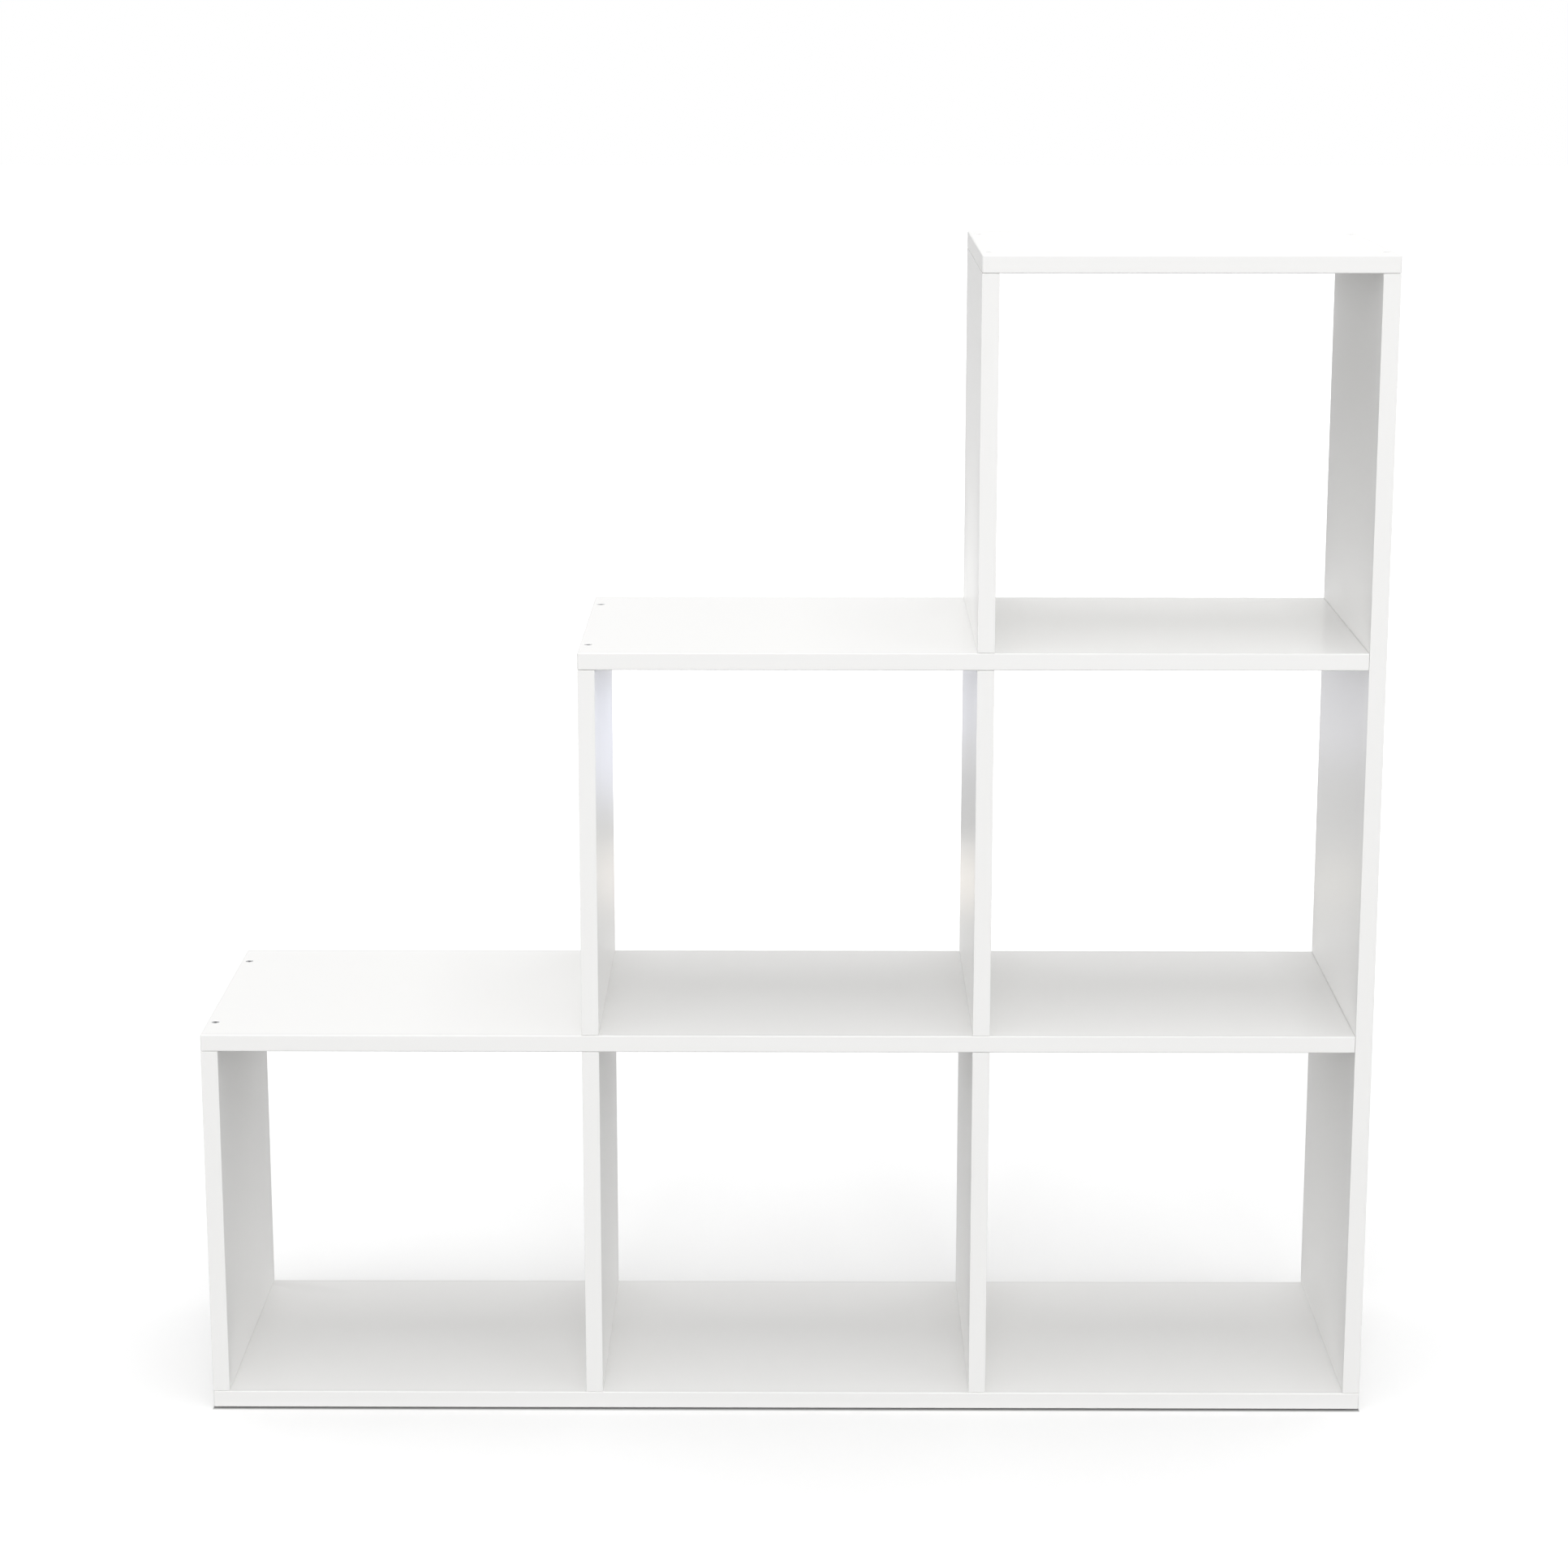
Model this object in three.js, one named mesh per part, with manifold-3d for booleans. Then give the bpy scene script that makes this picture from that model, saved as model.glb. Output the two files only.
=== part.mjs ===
// A staircase bookshelf of white faced board. Six open cells, three below, two above them and one on top,
// climb in three steps towards one tall side. The boards are screwed face to end with connector screws. Where
// an upright stands over another, two dowels run through the shelf between them and into both. Thin nailed
// glides keep the bottom board off the floor. Millimetres, +Z up, the front faces -Y, and the origin lies on
// the floor under the middle of the unit.

import * as THREE from "three";
import { mergeVertices } from "three/addons/utils/BufferGeometryUtils.js";
import Module from "manifold-3d";

// Boards and cells. A column is one step wide, and the dividers stand centred on the lines between columns.
const boardThickness = 15;
const unitDepth = 280;
const columns = 3;
const columnPitch = 343.4;
const lowerCellHeight = 319;
const middleCellHeight = 327;
const upperCellHeight = 323.5;

// Banded edges are rounded along their arrises and at their corners. Two boards meet with a hairline seam.
const arrisRadius = 1;
const arrisFacets = 3;
const cornerRadius = 1.6;
const seam = 0.1;
const cutOverrun = 6;

// Connector screws: a flat countersunk head with a hexagon socket, a smooth collar and a threaded run to a
// blunt tip. The threaded run is a plain cylinder of the thread's mean diameter.
const screwLength = 50;
const screwHeadDiameter = 7;
const screwHeadRim = 0.6;
const screwCollarDiameter = 5;
const screwCollarLength = 11;
const screwThreadDiameter = 4.2;
const screwTipLength = 4;
const screwTipDiameter = 2;
const screwSocketAcrossFlats = 3;
const screwSocketDepth = 2.4;
const screwRecess = 0.4;
const screwInset = 40;
const screwClearance = 0.15;
const screwEndGap = 1;
const screwSides = 12;

// Grooved dowels with chamfered ends
const dowelDiameter = 8;
const dowelLength = 40;
const dowelChamfer = 1;
const dowelGrooves = 8;
const dowelGrooveDepth = 0.4;
const dowelRidgeShares = [0.25, 0.75];
const dowelInset = 90;
const dowelClearance = 0.12;
const dowelEndGap = 0.5;
const dowelBoreSides = 16;

// Glides: a thin moulded disc under the bottom board, held by a nail whose head lies sunk in the disc.
const glideDiameter = 18;
const glideStandOff = 1.5;
const glideEdgeRound = 0.6;
const glideInset = 22;
const glideSides = 16;
const nailDiameter = 1.6;
const nailHeadDiameter = 5;
const nailHeadThickness = 0.5;
const nailHeadRecess = 0.3;
const nailPointLength = 1.5;
const nailTipCover = 3;
const nailClearance = 0.15;
const nailSides = 8;

// Faces of the whole unit, from left to right and from the floor up
const leftFace = (-columns * columnPitch) / 2;
const rightFace = (columns * columnPitch) / 2;
const lowerFloor = glideStandOff + boardThickness;
const middleFloor = lowerFloor + lowerCellHeight + boardThickness;
const upperFloor = middleFloor + middleCellHeight + boardThickness;
const topFace = upperFloor + upperCellHeight + boardThickness;

const up = new THREE.Vector3(0, 0, 1);
const down = new THREE.Vector3(0, 0, -1);
const right = new THREE.Vector3(1, 0, 0);

const wasm = await Module();
wasm.setup();

// A closed three.js geometry as a solid that can be cut.
function toSolid(geometry) {
  const bare = geometry.clone();
  bare.deleteAttribute("normal");
  bare.deleteAttribute("uv");
  const merged = mergeVertices(bare);
  const vertProperties = merged.attributes.position.array;
  const triVerts = new Uint32Array(merged.index.array);
  return new wasm.Manifold(new wasm.Mesh({ numProp: 3, vertProperties, triVerts }));
}

// A solid as a three.js geometry again, with flat faces.
function toGeometry(solid) {
  const mesh = solid.getMesh();
  const indexed = new THREE.BufferGeometry();
  indexed.setAttribute("position", new THREE.BufferAttribute(mesh.vertProperties, mesh.numProp));
  indexed.setIndex(new THREE.BufferAttribute(mesh.triVerts, 1));
  const geometry = indexed.toNonIndexed();
  geometry.computeVertexNormals();
  return geometry;
}

// A turned shape about +Z from [radius, height] pairs that run from the lower axis point to the upper one.
function turned(profile, sides) {
  const points = profile.map(([radius, height]) => new THREE.Vector2(radius, height));
  return new THREE.LatheGeometry(points, sides).rotateX(Math.PI / 2);
}

// Finishes
function whiteFacing() {
  return new THREE.MeshStandardMaterial({ color: 0xf3f2ef, roughness: 0.42, metalness: 0 });
}

function zincPlate() {
  return new THREE.MeshStandardMaterial({ color: 0xb4b6b8, roughness: 0.38, metalness: 0.9 });
}

function bareBeech() {
  return new THREE.MeshStandardMaterial({ color: 0xc9a376, roughness: 0.75, metalness: 0 });
}

function greyPlastic() {
  return new THREE.MeshStandardMaterial({ color: 0xd9d9d6, roughness: 0.55, metalness: 0 });
}

// The middle of an upright's thickness, on a line between two columns or at either end of the unit.
function uprightMiddle(line) {
  if (line === 0) {
    return leftFace + boardThickness / 2;
  }
  if (line === columns) {
    return rightFace - boardThickness / 2;
  }
  return leftFace + line * columnPitch;
}

// A flat board between two places along X, under a top face.
function flatBoard(name, start, end, top, squareEnd) {
  const place = new THREE.Object3D();
  place.position.set(start, 0, top - boardThickness);
  return { name, place, length: end - start, squareStart: false, squareEnd };
}

// A shelf starts flush with the outer face of the side under its left end, and butts on the tall side.
function shelf(name, line, top) {
  const start = uprightMiddle(line) - boardThickness / 2;
  return flatBoard(name, start, rightFace - boardThickness - seam, top, true);
}

// An upright between two flat boards: its length is turned up along +Z, and both its ends are sawn square.
function upright(name, line, floor, clearHeight) {
  const place = new THREE.Object3D();
  place.position.set(uprightMiddle(line) + boardThickness / 2, 0, floor + seam);
  place.rotation.y = -Math.PI / 2;
  return { name, place, length: clearHeight - 2 * seam, squareStart: true, squareEnd: true };
}

// The eleven boards
const boards = [
  flatBoard("bottom_board", leftFace, rightFace, lowerFloor, false),
  upright("lower_side", 0, lowerFloor, lowerCellHeight),
  upright("lower_divider_left", 1, lowerFloor, lowerCellHeight),
  upright("lower_divider_right", 2, lowerFloor, lowerCellHeight),
  shelf("lower_shelf", 0, middleFloor),
  upright("middle_side", 1, middleFloor, middleCellHeight),
  upright("middle_divider", 2, middleFloor, middleCellHeight),
  shelf("middle_shelf", 1, upperFloor),
  upright("upper_side", 2, upperFloor, upperCellHeight),
  flatBoard("top_board", uprightMiddle(2) - boardThickness / 2, rightFace, topFace, false),
  upright("tall_side", columns, lowerFloor, topFace - boardThickness - lowerFloor),
];

// Under an upright, the screws run up into its foot through the bottom board.
function footJoint(line, foot) {
  const joins = ["bottom_board", foot];
  return { name: foot + "_foot", x: uprightMiddle(line), z: glideStandOff, faces: down, joins };
}

// Over an upright, the screws run down into its head through a flat board. Where another upright stands on
// that board, it hides the screws, and dowels tie all three together.
function headJoint(line, board, top, head, standingOnIt) {
  const joins = [board, head];
  return { name: head + "_head", x: uprightMiddle(line), z: top, faces: up, joins, standingOnIt };
}

// At a shelf's right end, the screws run in through the tall side at half the shelf's thickness.
function shelfEndJoint(board, top) {
  const joins = ["tall_side", board];
  return { name: board + "_end", x: rightFace, z: top - boardThickness / 2, faces: right, joins };
}

// Each joint has its place on the face where the screws' heads lie, and the way that this face looks.
const joints = [
  footJoint(0, "lower_side"),
  footJoint(1, "lower_divider_left"),
  footJoint(2, "lower_divider_right"),
  footJoint(columns, "tall_side"),
  headJoint(0, "lower_shelf", middleFloor, "lower_side"),
  headJoint(1, "lower_shelf", middleFloor, "lower_divider_left", "middle_side"),
  headJoint(2, "lower_shelf", middleFloor, "lower_divider_right", "middle_divider"),
  headJoint(1, "middle_shelf", upperFloor, "middle_side"),
  headJoint(2, "middle_shelf", upperFloor, "middle_divider", "upper_side"),
  headJoint(2, "top_board", topFace, "upper_side"),
  headJoint(columns, "top_board", topFace, "tall_side"),
  shelfEndJoint("lower_shelf", middleFloor),
  shelfEndJoint("middle_shelf", upperFloor),
];

// A place with its local +Z turned to a direction.
function placeAt(x, y, z, direction) {
  const place = new THREE.Object3D();
  place.position.set(x, y, z);
  place.quaternion.setFromUnitVectors(up, direction);
  return place;
}

// A front and a rear copy of a fastener, with the same inset from either edge of the board.
function frontAndRear(inset, copyAt) {
  return [
    copyAt("front", -unitDepth / 2 + inset),
    copyAt("rear", unitDepth / 2 - inset),
  ];
}

// The screws of a joint. Their local zero lies on the face over the head.
function screwsOf({ name, x, z, faces, joins }) {
  return frontAndRear(screwInset, (end, y) => ({
    name: `screw_${name}_${end}`,
    place: placeAt(x, y, z, faces),
    through: joins,
  }));
}

// The dowels of a joint. Their local zero lies in the middle of the board that they run through.
function dowelsOf({ name, x, z, joins, standingOnIt }) {
  return frontAndRear(dowelInset, (end, y) => ({
    name: `dowel_${name}_${end}`,
    place: placeAt(x, y, z - boardThickness / 2, up),
    through: [...joins, standingOnIt],
  }));
}

// The glides under one upright, which at the two ends of the unit keep the same inset as from the front.
// Their local zero lies on the underside of the bottom board, and their local +Z points down.
function glidesUnder(line) {
  const farthest = rightFace - glideInset;
  const x = THREE.MathUtils.clamp(uprightMiddle(line), -farthest, farthest);
  return frontAndRear(glideInset, (end, y) => ({
    name: `glide_${line + 1}_${end}`,
    place: placeAt(x, y, glideStandOff, down),
    through: ["bottom_board"],
  }));
}

const screws = joints.flatMap(screwsOf);
const dowels = joints.filter((joint) => joint.standingOnIt).flatMap(dowelsOf);
const uprightLines = [...Array(columns + 1).keys()];
const glides = uprightLines.flatMap(glidesUnder);

// The outline in plan of a banded board, with its corners rounded.
function boardOutline(start, end) {
  const halfDepth = unitDepth / 2 - cornerRadius;
  const quarter = Math.PI / 2;
  const outline = new THREE.Shape();
  outline.absarc(end - cornerRadius, halfDepth, cornerRadius, 0, quarter);
  outline.absarc(start + cornerRadius, halfDepth, cornerRadius, quarter, 2 * quarter);
  outline.absarc(start + cornerRadius, -halfDepth, cornerRadius, 2 * quarter, 3 * quarter);
  outline.absarc(end - cornerRadius, -halfDepth, cornerRadius, 3 * quarter, 4 * quarter);
  return outline;
}

// A board lying flat: its length runs from zero along +X, its depth is centred on Y and its underside is at
// zero. It is rounded all round, and an end that butts against another board is then sawn square.
function boardSolid({ length, squareStart, squareEnd }) {
  const start = squareStart ? -cutOverrun : 0;
  const end = squareEnd ? length + cutOverrun : length;
  const banded = new THREE.ExtrudeGeometry(boardOutline(start, end), {
    depth: boardThickness - 2 * arrisRadius,
    bevelThickness: arrisRadius,
    bevelSize: arrisRadius,
    bevelOffset: -arrisRadius,
    bevelSegments: arrisFacets,
    curveSegments: 1,
  }).translate(0, 0, arrisRadius);
  const keptStart = squareStart ? 0 : -cutOverrun;
  const keptEnd = squareEnd ? length : length + cutOverrun;
  const kept = new THREE.BoxGeometry(
    keptEnd - keptStart,
    unitDepth + 2 * cutOverrun,
    boardThickness + 2 * cutOverrun,
  ).translate((keptStart + keptEnd) / 2, 0, boardThickness / 2);
  return toSolid(banded).intersect(toSolid(kept));
}

// Radii and heights of the screw, grown by a clearance for its bore.
function screwOutline(clearance) {
  const head = screwHeadDiameter / 2 + clearance;
  const collar = screwCollarDiameter / 2 + clearance;
  const rimEnd = -screwRecess - screwHeadRim;
  return {
    head,
    collar,
    thread: screwThreadDiameter / 2 + clearance,
    rimEnd,
    coneEnd: rimEnd - (head - collar),
    tipEnd: -screwRecess - screwLength,
  };
}

function screwGeometry() {
  const { head, collar, thread, rimEnd, coneEnd, tipEnd } = screwOutline(0);
  const collarEnd = coneEnd - screwCollarLength;
  const blank = turned(
    [
      [0, tipEnd],
      [screwTipDiameter / 2, tipEnd],
      [thread, tipEnd + screwTipLength],
      [thread, collarEnd],
      [collar, collarEnd],
      [collar, coneEnd],
      [head, rimEnd],
      [head, -screwRecess],
      [0, -screwRecess],
    ],
    screwSides,
  );
  const socketRadius = screwSocketAcrossFlats / Math.sqrt(3);
  const socketHeight = screwSocketDepth + cutOverrun;
  const socket = new THREE.CylinderGeometry(socketRadius, socketRadius, socketHeight, 6)
    .rotateX(Math.PI / 2)
    .translate(0, 0, -screwRecess - screwSocketDepth + socketHeight / 2);
  return toGeometry(toSolid(blank).subtract(toSolid(socket)));
}

// The stepped bore: countersunk and clear for the collar through the first board, narrower in the second.
function screwBore() {
  const { head, collar, thread, rimEnd, coneEnd, tipEnd } = screwOutline(screwClearance);
  const step = -boardThickness - seam / 2;
  return turned(
    [
      [0, tipEnd - screwEndGap],
      [thread, tipEnd - screwEndGap],
      [thread, step],
      [collar, step],
      [collar, coneEnd],
      [head, rimEnd],
      [head, cutOverrun],
      [0, cutOverrun],
    ],
    screwSides,
  );
}

// The dowel's section has flat ridges with a sharp groove between each two.
function dowelGeometry() {
  const ridge = dowelDiameter / 2;
  const groove = ridge - dowelGrooveDepth;
  const pitch = (2 * Math.PI) / dowelGrooves;
  const points = [...Array(dowelGrooves).keys()].flatMap((index) => [
    new THREE.Vector2(groove, 0).rotateAround(new THREE.Vector2(), index * pitch),
    ...dowelRidgeShares.map((share) =>
      new THREE.Vector2(ridge, 0).rotateAround(new THREE.Vector2(), (index + share) * pitch),
    ),
  ]);
  return new THREE.ExtrudeGeometry(new THREE.Shape(points), {
    depth: dowelLength - 2 * dowelChamfer,
    bevelThickness: dowelChamfer,
    bevelSize: dowelChamfer,
    bevelOffset: -dowelChamfer,
    bevelSegments: 1,
  }).translate(0, 0, -dowelLength / 2 + dowelChamfer);
}

function dowelBore() {
  const radius = dowelDiameter / 2 + dowelClearance;
  const length = dowelLength + 2 * dowelEndGap;
  return new THREE.CylinderGeometry(radius, radius, length, dowelBoreSides).rotateX(Math.PI / 2);
}

// The nail points up into the board along the glide's local -Z. Its bore is the same shape, grown by a
// clearance.
function nailSolid(clearance, headTop) {
  const shank = nailDiameter / 2 + clearance;
  const head = nailHeadDiameter / 2 + clearance;
  const headUnder = glideStandOff - nailHeadRecess - nailHeadThickness - clearance;
  const tip = nailTipCover - boardThickness - clearance;
  return turned(
    [
      [0, tip],
      [shank, tip + nailPointLength],
      [shank, headUnder],
      [head, headUnder],
      [head, headTop],
      [0, headTop],
    ],
    nailSides,
  );
}

function nailGeometry() {
  return nailSolid(0, glideStandOff - nailHeadRecess);
}

function nailBore() {
  return nailSolid(nailClearance, glideStandOff + cutOverrun);
}

// The glide's disc, from a seam under the board down to the floor, with its lower edge rounded in two facets.
function glideGeometry() {
  const radius = glideDiameter / 2;
  const lowered = glideEdgeRound * Math.SQRT1_2;
  const disc = turned(
    [
      [0, seam],
      [radius, seam],
      [radius, glideStandOff - glideEdgeRound],
      [radius - glideEdgeRound + lowered, glideStandOff - glideEdgeRound + lowered],
      [radius - glideEdgeRound, glideStandOff],
      [0, glideStandOff],
    ],
    glideSides,
  );
  return toGeometry(toSolid(disc).subtract(toSolid(nailBore())));
}

function meshAt(name, geometry, material, place) {
  const mesh = new THREE.Mesh(geometry, material);
  mesh.name = name;
  mesh.position.copy(place.position);
  mesh.quaternion.copy(place.quaternion);
  return mesh;
}

// A board with the bores of all the fasteners that run through it, cut in the board's own frame.
function boardMesh(board, bored) {
  board.place.updateMatrix();
  const toBoard = board.place.matrix.clone().invert();
  let solid = boardSolid(board);
  for (const { fasteners, bore } of bored) {
    for (const { place, through } of fasteners) {
      if (through.includes(board.name)) {
        place.updateMatrix();
        solid = solid.subtract(toSolid(bore.clone().applyMatrix4(toBoard.clone().multiply(place.matrix))));
      }
    }
  }
  return meshAt(board.name, toGeometry(solid), whiteFacing(), board.place);
}

function groupOf(name, meshes) {
  const group = new THREE.Group();
  group.name = name;
  group.add(...meshes);
  return group;
}

const bored = [
  { fasteners: screws, bore: screwBore() },
  { fasteners: dowels, bore: dowelBore() },
  { fasteners: glides, bore: nailBore() },
];
const screwShape = screwGeometry();
const dowelShape = dowelGeometry();
const glideShape = glideGeometry();
const nailShape = nailGeometry();

const bookshelf = new THREE.Group();
bookshelf.name = "staircase_bookshelf";
bookshelf.add(
  groupOf("boards", boards.map((board) => boardMesh(board, bored))),
  groupOf("screws", screws.map(({ name, place }) => meshAt(name, screwShape, zincPlate(), place))),
  groupOf("dowels", dowels.map(({ name, place }) => meshAt(name, dowelShape, bareBeech(), place))),
  groupOf("glides", glides.map(({ name, place }) => meshAt(name, glideShape, greyPlastic(), place))),
  groupOf("nails", glides.map(({ name, place }) => meshAt(`${name}_nail`, nailShape, zincPlate(), place))),
);

export default bookshelf;
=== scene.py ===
"""Visual model of a staircase bookshelf of white faced board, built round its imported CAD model.

Eleven faced and banded boards, connector screws, grooved dowels, glides and nails stand in a white studio.
Lengths are in metres, +Z is up, the front faces -Y, and the steps climb along +X to the tall side.
"""

import logging
import math
from collections.abc import Callable, Iterable, Sequence
from dataclasses import dataclass, field
from enum import Enum
from typing import Any

import bmesh
import bpy
from bpy.types import Material, Mesh, Node, NodeSocket, NodeTree, Object, World
from mathutils import Matrix, Vector


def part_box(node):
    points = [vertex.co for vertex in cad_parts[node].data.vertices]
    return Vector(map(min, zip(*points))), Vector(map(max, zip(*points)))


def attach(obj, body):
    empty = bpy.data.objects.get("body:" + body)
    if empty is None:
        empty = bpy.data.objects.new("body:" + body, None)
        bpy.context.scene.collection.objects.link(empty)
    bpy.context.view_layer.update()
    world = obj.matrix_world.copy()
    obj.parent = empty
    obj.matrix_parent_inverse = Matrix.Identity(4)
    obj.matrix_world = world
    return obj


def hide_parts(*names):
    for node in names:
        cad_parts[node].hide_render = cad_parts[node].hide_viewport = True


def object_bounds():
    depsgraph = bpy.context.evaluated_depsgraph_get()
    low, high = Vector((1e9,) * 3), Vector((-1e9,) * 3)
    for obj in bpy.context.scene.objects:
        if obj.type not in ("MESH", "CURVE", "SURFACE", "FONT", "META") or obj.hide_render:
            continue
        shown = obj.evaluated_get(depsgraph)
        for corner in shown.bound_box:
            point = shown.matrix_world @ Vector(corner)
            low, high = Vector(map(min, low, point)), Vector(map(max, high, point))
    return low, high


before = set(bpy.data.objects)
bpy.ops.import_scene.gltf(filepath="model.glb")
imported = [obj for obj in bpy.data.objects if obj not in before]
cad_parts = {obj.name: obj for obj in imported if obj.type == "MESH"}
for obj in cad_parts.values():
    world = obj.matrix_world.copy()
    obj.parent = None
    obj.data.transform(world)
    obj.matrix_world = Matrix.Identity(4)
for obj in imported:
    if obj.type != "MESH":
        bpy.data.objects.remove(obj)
cad_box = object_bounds()

MM = 0.001
BODY = "root"
LOCAL = "local"
RIM = "rim"
GRAIN_MAP = "Grain"
FACE_ON = 0.999
BORE_SIDES = 32
BORE_OVERRUN = 6 * MM
SMEARS_TO_CLOUDS = 3.7

log = logging.getLogger("bookshelf")

Triple = tuple[float, float, float]
Rgb = Triple
Span = tuple[float, float]
Outline = list[tuple[float, float]]


class Slot(Enum):
    """The record's material slots."""

    BOARD = "white_board"
    ZINC = "zinc"
    BEECH = "beech"
    PLASTIC = "grey_plastic"


class Heading(Enum):
    """The way that a fastener's head looks."""

    DOWN = (0.0, 0.0, -1.0)
    UP = (0.0, 0.0, 1.0)
    RIGHT = (1.0, 0.0, 0.0)


class Stance(Enum):
    """How a board stands: its own X runs along its length and its own Z through its thickness."""

    FLAT = "flat"
    UPRIGHT = "upright"


class Sawn(Enum):
    """Which ends of a board are sawn square and hidden in a joint. The other edges are banded."""

    NEITHER = (False, False)
    FAR_END = (False, True)
    BOTH = (True, True)


class Layer(Enum):
    """The material slots of a board's mesh, in their order."""

    FACING = 0
    BAND = 1
    CORE = 2


# ---------------------------------------------------------------- helpers for trees and meshes


class Tree:
    """Adds nodes to a shader or geometry tree and links them."""

    def __init__(self, tree: NodeTree) -> None:
        """Starts on the tree that gets the nodes."""
        self.tree = tree

    def add(self, kind: str, inputs: dict[Any, Any] | None = None, **settings: Any) -> Node:
        """Adds one node.

        Args:
            kind: The node's type name.
            inputs: Values or sockets for its inputs, by name or number.
            **settings: Properties of the node, which are set before its inputs.

        Returns:
            The new node.
        """
        node = self.tree.nodes.new(kind)
        for name, value in settings.items():
            setattr(node, name, value)
        for key, value in (inputs or {}).items():
            self.feed(node.inputs[key], value)
        return node

    def out(self, kind: str, inputs: dict[Any, Any] | None = None, **settings: Any) -> NodeSocket:
        """Adds one node, as "add" does, and returns its first output."""
        return self.add(kind, inputs, **settings).outputs[0]

    def feed(self, socket: NodeSocket, value: Any) -> None:
        """Gives an input its value.

        Args:
            socket: The input.
            value: A socket to link from, or a plain value.
        """
        if isinstance(value, NodeSocket):
            self.tree.links.new(value, socket)
        else:
            socket.default_value = value

    def math(self, operation: str, *values: Any) -> NodeSocket:
        """Returns the result of an operation on sockets or numbers."""
        return self.out("ShaderNodeMath", dict(enumerate(values)), operation=operation)

    def noise(self, vector: Any, scale: Any, detail: float = 2.0, roughness: float = 0.5) -> NodeSocket:
        """Returns a noise around a half, whose scale is the number of its features in a metre."""
        inputs = {"Vector": vector, "Scale": scale, "Detail": detail, "Roughness": roughness}
        return self.out("ShaderNodeTexNoise", inputs)

    def spread(self, value: Any, low: float, high: float, to_low: float, to_high: float) -> NodeSocket:
        """Returns a value mapped from one range to another, clamped at its ends."""
        return self.out("ShaderNodeMapRange", {0: value, 1: low, 2: high, 3: to_low, 4: to_high})

    def mix(self, factor: Any, first: Any, second: Any, blend: str = "MIX") -> NodeSocket:
        """Returns two colours mixed, with the factor as the second one's share."""
        node = self.add("ShaderNodeMix", {0: factor, 6: first, 7: second}, data_type="RGBA", blend_type=blend)
        return node.outputs[2]

    def grey(self, value: NodeSocket) -> NodeSocket:
        """Returns the grey of a value."""
        return self.out("ShaderNodeCombineColor", {0: value, 1: value, 2: value})

    def axes(self, vector: NodeSocket) -> Any:
        """Returns the three coordinates of a vector."""
        return self.add("ShaderNodeSeparateXYZ", {0: vector}).outputs

    def radius(self, first: NodeSocket, second: NodeSocket) -> NodeSocket:
        """Returns how far two coordinates lie from zero."""
        squares = [self.math("MULTIPLY", way, way) for way in (first, second)]
        return self.math("SQRT", self.math("ADD", *squares))

    def bump(self, height: Any, depth: float, normal: Any = None) -> NodeSocket:
        """Returns a normal, or an earlier one, bent by a height whose 1 stands for the depth in metres."""
        earlier = {} if normal is None else {"Normal": normal}
        return self.out("ShaderNodeBump", {"Height": height, "Distance": depth, "Strength": 1.0} | earlier)


class Group(Tree):
    """A new node group with named sockets."""

    def __init__(self, name: str, kind: str, inputs: dict[str, str], outputs: dict[str, str]) -> None:
        """Starts the group.

        Args:
            name: The group's name.
            kind: The type name of its tree.
            inputs: Type of each input by its name, without the prefix.
            outputs: The same for the outputs.
        """
        super().__init__(bpy.data.node_groups.new(name, kind))
        self.identifiers = self._sockets("INPUT", inputs)
        self._sockets("OUTPUT", outputs)
        self.given = self.add("NodeGroupInput").outputs

    def _sockets(self, side: str, kinds: dict[str, str]) -> dict[str, str]:
        """Adds the sockets of one side and returns their identifiers.

        Args:
            side: INPUT or OUTPUT.
            kinds: Type of each socket by its name, without the prefix.

        Returns:
            The identifiers by name.
        """
        made = {}
        for name, kind in kinds.items():
            socket = self.tree.interface.new_socket(name, in_out=side, socket_type="NodeSocket" + kind)
            made[name] = socket.identifier
        return made


def emptied(owner: Material | World) -> NodeTree:
    """Gives a material or a world an empty tree.

    Args:
        owner: The material or world.

    Returns:
        Its tree.
    """
    owner.use_nodes = True
    owner.node_tree.nodes.clear()
    return owner.node_tree


def rgba(colour: Rgb) -> tuple[float, float, float, float]:
    """Returns a colour with full alpha."""
    return (*colour, 1.0)


def object_of(name: str, mesh: Mesh) -> Object:
    """Puts a mesh into the scene as an object at the origin.

    Args:
        name: The object's name.
        mesh: Its mesh, with its place in its vertices.

    Returns:
        The object.
    """
    made = bpy.data.objects.new(name, mesh)
    bpy.context.scene.collection.objects.link(made)
    return made


def baked(source: Object) -> Mesh:
    """Turns an object with modifiers into a plain mesh, and removes the object.

    Args:
        source: The object.

    Returns:
        The evaluated mesh.
    """
    graph = bpy.context.evaluated_depsgraph_get()
    shaped = source.evaluated_get(graph)
    mesh = bpy.data.meshes.new_from_object(shaped, preserve_all_data_layers=True, depsgraph=graph)
    bpy.data.objects.remove(source)
    return mesh


def handed_over(piece: Object, nodes: Sequence[str]) -> None:
    """Parents a finished piece to the body, hides the CAD nodes that it stands for, and reports it.

    Args:
        piece: The finished piece.
        nodes: The CAD nodes that it replaces.
    """
    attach(piece, BODY)
    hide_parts(*nodes)
    piece.data.calc_loop_triangles()
    log.info("%s: %d triangles for %d nodes", piece.name, len(piece.data.loop_triangles), len(nodes))


def nodes_of(start: str, part: str = "") -> list[str]:
    """Returns the CAD nodes whose names start in a way and hold a part."""
    return sorted(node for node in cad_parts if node.startswith(start) and part in node)


# ---------------------------------------------------------------- shared effects


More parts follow.
